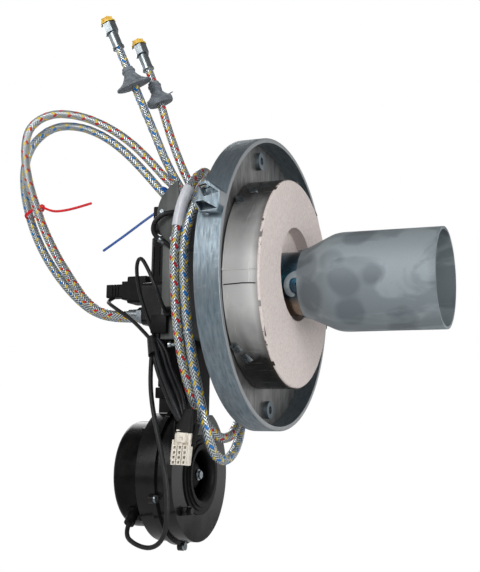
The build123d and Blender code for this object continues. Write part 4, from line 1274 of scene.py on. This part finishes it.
def hood(look):
    foot, top = Vector(look["foot"]), Vector(look["top"])
    around = look["around"]
    verts = []
    for share, narrow in look["rows"]:
        wide, deep = (a * (1 - share) + b * share for a, b in zip(look["footSize"], look["topSize"]))
        wide *= narrow
        for i in range(around):
            angle = 2 * pi * i / around
            cx, cy = cos(angle), sin(angle)
            square = (abs(cx) ** 5 + abs(cy) ** 5) ** -0.2
            verts.append(foot.lerp(top, share) + Vector((cx * square * wide / 2, cy * square * deep / 2, 0)))
    sleeve = (verts, skinFaces(len(look["rows"]), around, capped=True))
    flaps = []
    for side in (-1, 1):
        x, half = side * look["flapX"], look["flapHalf"]
        leaf = boxShape((x - half, -0.004, -0.012), (x + half, 0.005, 0.012), 0.0005)
        flaps.append(placed(leaf, foot, (0.12 + side * 0.10, 0, 1)))
    return makePiece("connectorHood", [sleeve, *flaps], "plastic", "burner", 40)


hoodPiece = hood(plugHood)
print("connector made")

strands = {
    # offset from the loom's own line, radius
    "loomStrandA": ((0.0052, 0.001, 0.0035), 0.0030),
    "loomStrandB": ((-0.0050, 0.001, -0.0030), 0.0027),
    "loomStrandC": ((0.0010, -0.0055, 0.0018), 0.0024),
    "loomStrandD": ((0.0088, 0.002, 0.0065), 0.0022),
}
loomTop = [(-0.1035, -0.052, -0.066)]


def loomStrand(name, offset, radius):
    route = [Vector(p) + Vector(offset) * (0.45 if i in (0, 5) else 1.0)
             for i, p in enumerate(loomTop + loomRoute)]
    return makePiece(name, [roundBar(route, radius, 14)], "jacket", "burner", 60)


loomPieces = [loomStrand(name, *spec) for name, spec in strands.items()]
print("loom strands made")

def screwRow(name, places, aim, size, finish, body):
    carrier = pointCarrier(name + "Seed", places, [aim] * len(places))
    return grow(name, "screws", carrier, size, finish, body)


sideCover = {
    "x": -0.061, "z": 0.078, "radius": 0.0425, "back": -0.0512, "front": -0.0545,
    "clearX": -0.0755, "clearZ": 0.094,     # the hoses come down beyond both
    "screws": [(-0.0965, -0.0548, 0.082), (-0.083, -0.0548, 0.050)],
    "screwSize": {"Radius": 0.0024, "Height": 0.0014, "Sides": 24, "Washer": 1.0},
    "ferrule": [(0.0, 0.0), (0.0030, 0.0), (0.0034, 0.0006), (0.0034, 0.0035), (0.0029, 0.0041),
                (0.0029, 0.0075), (0.0022, 0.0082), (0.0, 0.0082)],
    "ferruleAt": (-0.0985, -0.0572, 0.0500), "ferruleWay": (0.72, 0.30, -0.52),
}


def roundCover(look):
    # a round plate on the housing's side, cut away where the hoses come down past it
    clearX, clearZ = look["clearX"], look["clearZ"]
    outline = []
    for i in range(97):
        angle = 2 * pi * i / 96
        x, z = look["x"] + look["radius"] * cos(angle), look["z"] + look["radius"] * sin(angle)
        if not (x > clearX and z > clearZ):
            outline.append((x, -z))
    outline = outline[:-1]
    split = next(i for i in range(1, len(outline)) if outline[i][0] < clearX and -outline[i][1] > clearZ)
    outline.insert(split, (clearX, -clearZ))
    plate = plateShape(outline, look["back"] - look["front"], 0.0008)
    plate = placed(plate, (0, look["front"], 0), (0, 1, 0))
    makePiece("sideCover", [plate], "castHousing", "burner", 30)
    screwRow("sideCoverScrews", look["screws"], (0, -1, 0), look["screwSize"], "zinc", "burner")
    ferrule = placed(turnedShape(look["ferrule"], 24), look["ferruleAt"], look["ferruleWay"])
    makePiece("sparkFerrule", [ferrule], "zinc", "burner")


roundCover(sideCover)
print("side cover made")

blower = {
    "axis": (0.0, -0.215), "frontX": -0.066,
    # low corner, high corner and bevel of the lugs on the shell
    "lugs": [((-0.067, -0.0505, -0.2580), (-0.0610, -0.0325, -0.2490), 0.0012),
             ((-0.108, -0.0365, -0.2775), (-0.097, -0.0255, -0.2655), 0.0015),
             ((-0.093, 0.0425, -0.2735), (-0.078, 0.0530, -0.2640), 0.0015)],
    "bolt": (-0.0610, -0.0405, -0.2535),
    "rim": [(0.0560, -0.001), (0.0590, -0.001), (0.0590, 0.0012), (0.0580, 0.0020), (0.0560, 0.0012)],
    "steps": (0.0335, 0.0385, 0.0435),
    "step": [(-0.0009, 0.0008), (0.0009, 0.0008), (0.0007, 0.0034), (-0.0007, 0.0034)],
    "boltSize": {"Radius": 0.0042, "Height": 0.0040, "Sides": 6, "Washer": 1.35},
    "nutSize": {"Radius": 0.0048, "Height": 0.0030, "Sides": 6, "Washer": 1.3},
    "nutStand": 0.0008,     # how far the nut's middle stands off the wheel's hub
}


def blowerTrim(look):
    front = (look["frontX"], *look["axis"])
    profiles = [look["rim"]]
    for radius in look["steps"]:
        profiles.append([(radius + across, height) for across, height in look["step"]])
    shapes = [boxShape(*lug) for lug in look["lugs"]]
    shapes += [placed(turnedShape(profile, 96, closed=True), front, (1, 0, 0)) for profile in profiles]
    makePiece("blowerTrim", shapes, "paint", "burner")
    screwRow("blowerBolts", [look["bolt"]], (1, 0, 0), look["boltSize"], "paint", "burner")
    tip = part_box("fan_wheel")[1].x + look["nutStand"]
    screwRow("wheelNut", [(tip, *look["axis"])], (1, 0, 0), look["nutSize"], "zinc", "fan")


blowerTrim(blower)

smallParts = {
    # low corner, high corner and bevel of a tab box, its lid and a block on the housing's side
    "blocks": [((-0.0945, -0.0640, -0.1310), (-0.0720, -0.0480, -0.1190), 0.0012),
               ((-0.0925, -0.0620, -0.1185), (-0.0760, -0.0500, -0.1090), 0.0012),
               ((-0.1060, -0.0580, -0.0580), (-0.0860, -0.0505, -0.0370), 0.0012)],
    "stud": [(0.0, 0.0), (0.0034, 0.0), (0.0036, 0.0012), (0.0036, 0.0030), (0.0022, 0.0036),
             (0.0022, 0.0230), (0.0, 0.0230)],
    "studAt": (-0.0800, -0.0640, -0.0720), "studWay": (1, 0.35, 0),
}


def smallBlocks(look):
    makePiece("sideBlocks", [boxShape(*row) for row in look["blocks"]], "plastic", "burner")
    stud = placed(turnedShape(look["stud"], 20), look["studAt"], look["studWay"])
    makePiece("sideStud", [stud], "zinc", "burner")


smallBlocks(smallParts)
print("blower and side details made")

bandClips = {
    "radius": 0.1181,
    "width": 0.0085, "length": 0.0120, "thick": 0.0007,
    "turns": (137.0, 128.0, 222.0, 229.0, 40.0, -35.0),     # degrees from +Y
    "x": (0.0125, 0.0225, 0.0120, 0.0200, 0.0140, 0.0150),
    "stand": 0.0010, "tilt": Vector((0.22, 0, 0)), "skew": Vector((0.5, 0, 0)),
}


def clips(look):
    half, reach = look["width"] / 2, look["length"] / 2
    leaf = boxShape((-reach, -half, 0.0), (reach, half, look["thick"]), 0.0002)
    shapes = []
    for turn, x in zip(look["turns"], look["x"]):
        angle = radians(turn)
        out, side = Vector((0, cos(angle), sin(angle))), Vector((0, -sin(angle), cos(angle)))
        place = out * (look["radius"] + look["stand"]) + Vector((x, 0, 0))
        shapes.append(placed(leaf, place, out + look["tilt"], side + look["skew"]))
    makePiece("bandClips", shapes, "zinc", "burner")


clips(bandClips)

seam = {
    "radius": 0.1180, "z": -0.016, "high": 0.0012,
    # X, and how far the bead strays in Y and Z
    "bead": [(0.0085, 0, 0), (0.020, -0.0001, 0.0004), (0.033, -0.0004, 0.0012), (0.0440, 0, 0.0002)],
}


def seamLine(look):
    # the rolled joint of the sheet
    y, z = -(look["radius"] ** 2 - look["z"] ** 2) ** 0.5, look["z"]
    route = [(x, y + strayY, z + strayZ) for x, strayY, strayZ in look["bead"]]
    makePiece("bandSeam", [roundBar(route, look["high"] / 2, 10)], "seal", "burner", 60)


seamLine(seam)

crumbs = {
    "x": 0.0478, "ring": [(0.1135, 0.0478), (0.1168, 0.0472), (0.1172, 0.0438)],
    "size": {"Density": 5200.0, "Size": 0.00062, "Flat": 0.5, "Seed": 3},
    "rim": 0.1150, "thick": 0.00035,
    # degrees from +Y, length, width, and whether it runs in from the rim
    "cracks": [(155, 0.016, 0.0030, False), (163, 0.010, 0.0018, False), (121, 0.009, 0.0016, True),
               (207, 0.018, 0.0030, False), (246, 0.007, 0.0018, True), (300, 0.007, 0.0016, True),
               (60, 0.006, 0.0014, True)],
}


def boardEdge(look):
    # crumbs in scorch colour round the edge of the board, and short cracks beside it as dark slivers that
    # paint the shade inside each crack
    ring = placed(turnedShape(look["ring"], 180), (0, 0, 0), (1, 0, 0), (0, 1, 0))
    carrier = makePiece("crumbSeed", [ring], "seal", None)
    grow("edgeCrumbs", "crumbs", carrier, look["size"], "scorchAndCrackShade", "burner", 60)
    shapes = []
    for turn, length, width, inward in look["cracks"]:
        angle = radians(turn)
        out = Vector((0, cos(angle), sin(angle)))
        slit = [(0, 0), (length * 0.5, width * 0.5), (length, width * 0.35), (length, -width * 0.45),
                (length * 0.6, -width * 0.3)]
        across = out if inward else Vector((0, -out.z, out.y))
        start = out * (look["rim"] - (length if inward else 0.0)) + Vector((look["x"] - 0.0002, 0, 0))
        # each crack is a thin dark sliver on the face, painted shade for the crack's hollow
        shapes.append(placed(plateShape(slit, look["thick"], 0), start, (1, 0, 0), across))
    makePiece("boardCracks", shapes, "scorchAndCrackShade", "burner")


boardEdge(crumbs)
print("band and board details made")

endSeal = {"bore": 0.0070, "radius": 0.0096, "bulge": 0.0004, "thick": 0.0026, "reach": 0.0373}


def sealRings(look):
    # a dark ring under each dust plug, on the joint's own axis
    bore, radius, thick = look["bore"], look["radius"], look["thick"]
    ring = [(bore, 0.0), (radius, 0.0), (radius + look["bulge"], thick * 0.5), (radius, thick * 0.8),
            (bore, thick * 0.8)]
    for colour in ("Red", "Blue"):
        nut = "nut_" + colour.lower()
        joint = next(j for j in frame["joints"] if j["child"] == nut)
        way = Vector(joint["axis"])
        place = Vector(joint["pos_m"]) + way * look["reach"]
        shape = placed(turnedShape(ring, 40, closed=True), place, way)
        makePiece("dustSeal" + colour, [shape], "seal", nut)


sealRings(endSeal)

hoseTag = {"from": 0.1060, "to": 0.0550, "maxX": -0.04, "maxY": -0.045, "radius": 0.0068}


def tagOnHose(look):
    # a bare film tag wrapped round the hose below its top bend
    points = [p for p in smoothLine(redRoute, 24)
              if p[0] < look["maxX"] and p[1] < look["maxY"] and look["to"] < p[2] < look["from"]]
    film = roundBar(points[::6], look["radius"], 28, 4)
    tag = makePiece("hoseTag", [film], "label", "burner", 50)
    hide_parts("hose_label")
    return tag


tagPiece = tagOnHose(hoseTag)

hoseClips = {
    "width": 0.0022, "inner": 0.0058, "outer": 0.0067,
    "places": [((-0.0588, -0.0742, 0.0300), (0.02, -0.05, -1)), ((-0.0500, -0.0755, -0.0610), (0.14, 0, -1))],
}


def clipRings(look):
    half, inner, outer = look["width"] / 2, look["inner"], look["outer"]
    ring = turnedShape([(inner, -half), (outer, -half), (outer, half), (inner, half)], 32, closed=True)
    shapes = [placed(ring, place, way) for place, way in look["places"]]
    makePiece("hoseClips", shapes, "zinc", "burner")


clipRings(hoseClips)
print("seals and clips made")


jacketedLead("coilLead", "coil_lead", coilLeadRoute, 0.0044)
jacketedLead("sensorLead", "sensor_lead", sensorLeadRoute, 0.0044)
jacketedLead("loomLead", "loom", loomRoute, 0.0076)
jacketedLead("motorLead", "motor_lead", motorLeadRoute, 0.0052)
jacketedLead("sparkLead", None, sparkLeadRoute, 0.0056)
print("cords laid")


studio = {
    "floorZ": -0.62,
    "floorSize": 12.0,
    "zenith": (0.20, 0.20, 0.205, 1),
    "horizon": (0.95, 0.95, 0.96, 1),
    "nadir": (0.10, 0.10, 0.105, 1),
}


def makeWorld(look):
    world = bpy.data.worlds.new("studio")
    world.use_nodes = True
    tree = world.node_tree
    tree.nodes.clear()
    path = addNode(tree, "ShaderNodeLightPath").outputs
    ray = addNode(tree, "ShaderNodeTexCoord").outputs["Generated"]
    height = addNode(tree, "ShaderNodeSeparateXYZ", {0: ray}).outputs[2]
    shade = rampOf(tree, spread(tree, height, -1.0, 1.0), [
        (0.0, look["nadir"]), (0.34, look["nadir"]), (0.47, look["horizon"]), (0.56, look["horizon"]),
        (0.76, look["zenith"]), (1.0, look["zenith"])])
    seen = nodeOut(tree, "ShaderNodeBackground", {0: (1, 1, 1, 1), 1: 1.0})
    lit = nodeOut(tree, "ShaderNodeBackground", {0: shade, 1: 0.85})
    mixed = nodeOut(tree, "ShaderNodeMixShader", {0: path["Is Camera Ray"], 1: lit, 2: seen})
    addNode(tree, "ShaderNodeOutputWorld", {0: mixed})
    scene.world = world


def makeFloor(look):
    mesh = bpy.data.meshes.new("studioFloor")
    half, z = look["floorSize"] / 2, look["floorZ"]
    corners = [(-half, -half, z), (half, -half, z), (half, half, z), (-half, half, z)]
    mesh.from_pydata(corners, [], [(0, 1, 2, 3)])
    material = bpy.data.materials.new("palePaper")
    material.use_nodes = True
    tree = material.node_tree
    shader = tree.nodes["Principled BSDF"]
    shader.inputs["Base Color"].default_value = grey(0.82)
    shader.inputs["Roughness"].default_value = 0.8
    path = addNode(tree, "ShaderNodeLightPath").outputs
    seen = nodeOut(tree, "ShaderNodeEmission", {0: grey(1.0), 1: 1.0})
    mixed = addNode(tree, "ShaderNodeMixShader", {0: path["Is Camera Ray"], 1: shader.outputs[0], 2: seen})
    tree.links.new(mixed.outputs[0], tree.nodes["Material Output"].inputs[0])
    mesh.materials.append(material)
    floor = linked("studioFloor", mesh)


softBoxes = [
    # name, place, looks at, width, height, watts
    ("keyBox", (-0.35, -1.5, 0.75), (0, 0, 0), 0.9, 0.9, 13.0),
    ("fillBox", (1.35, -0.9, 0.15), (0.05, 0, 0), 0.7, 1.1, 13.0),
    ("rimBox", (-0.9, 0.9, 0.7), (0, 0, 0), 0.8, 0.8, 8.0),
]


def makeLamps(boxes):
    for name, place, target, width, height, watts in boxes:
        data = bpy.data.lights.new(name, "AREA")
        data.shape = "RECTANGLE"
        data.size, data.size_y, data.energy = width, height, watts
        lamp = linked(name, data)
        lamp.location = place
        lamp.rotation_mode = "QUATERNION"
        lamp.rotation_quaternion = (Vector(target) - Vector(place)).to_track_quat("-Z", "Y")


makeWorld(studio)
makeFloor(studio)
makeLamps(softBoxes)
print("studio lit")

bpy.context.view_layer.update()
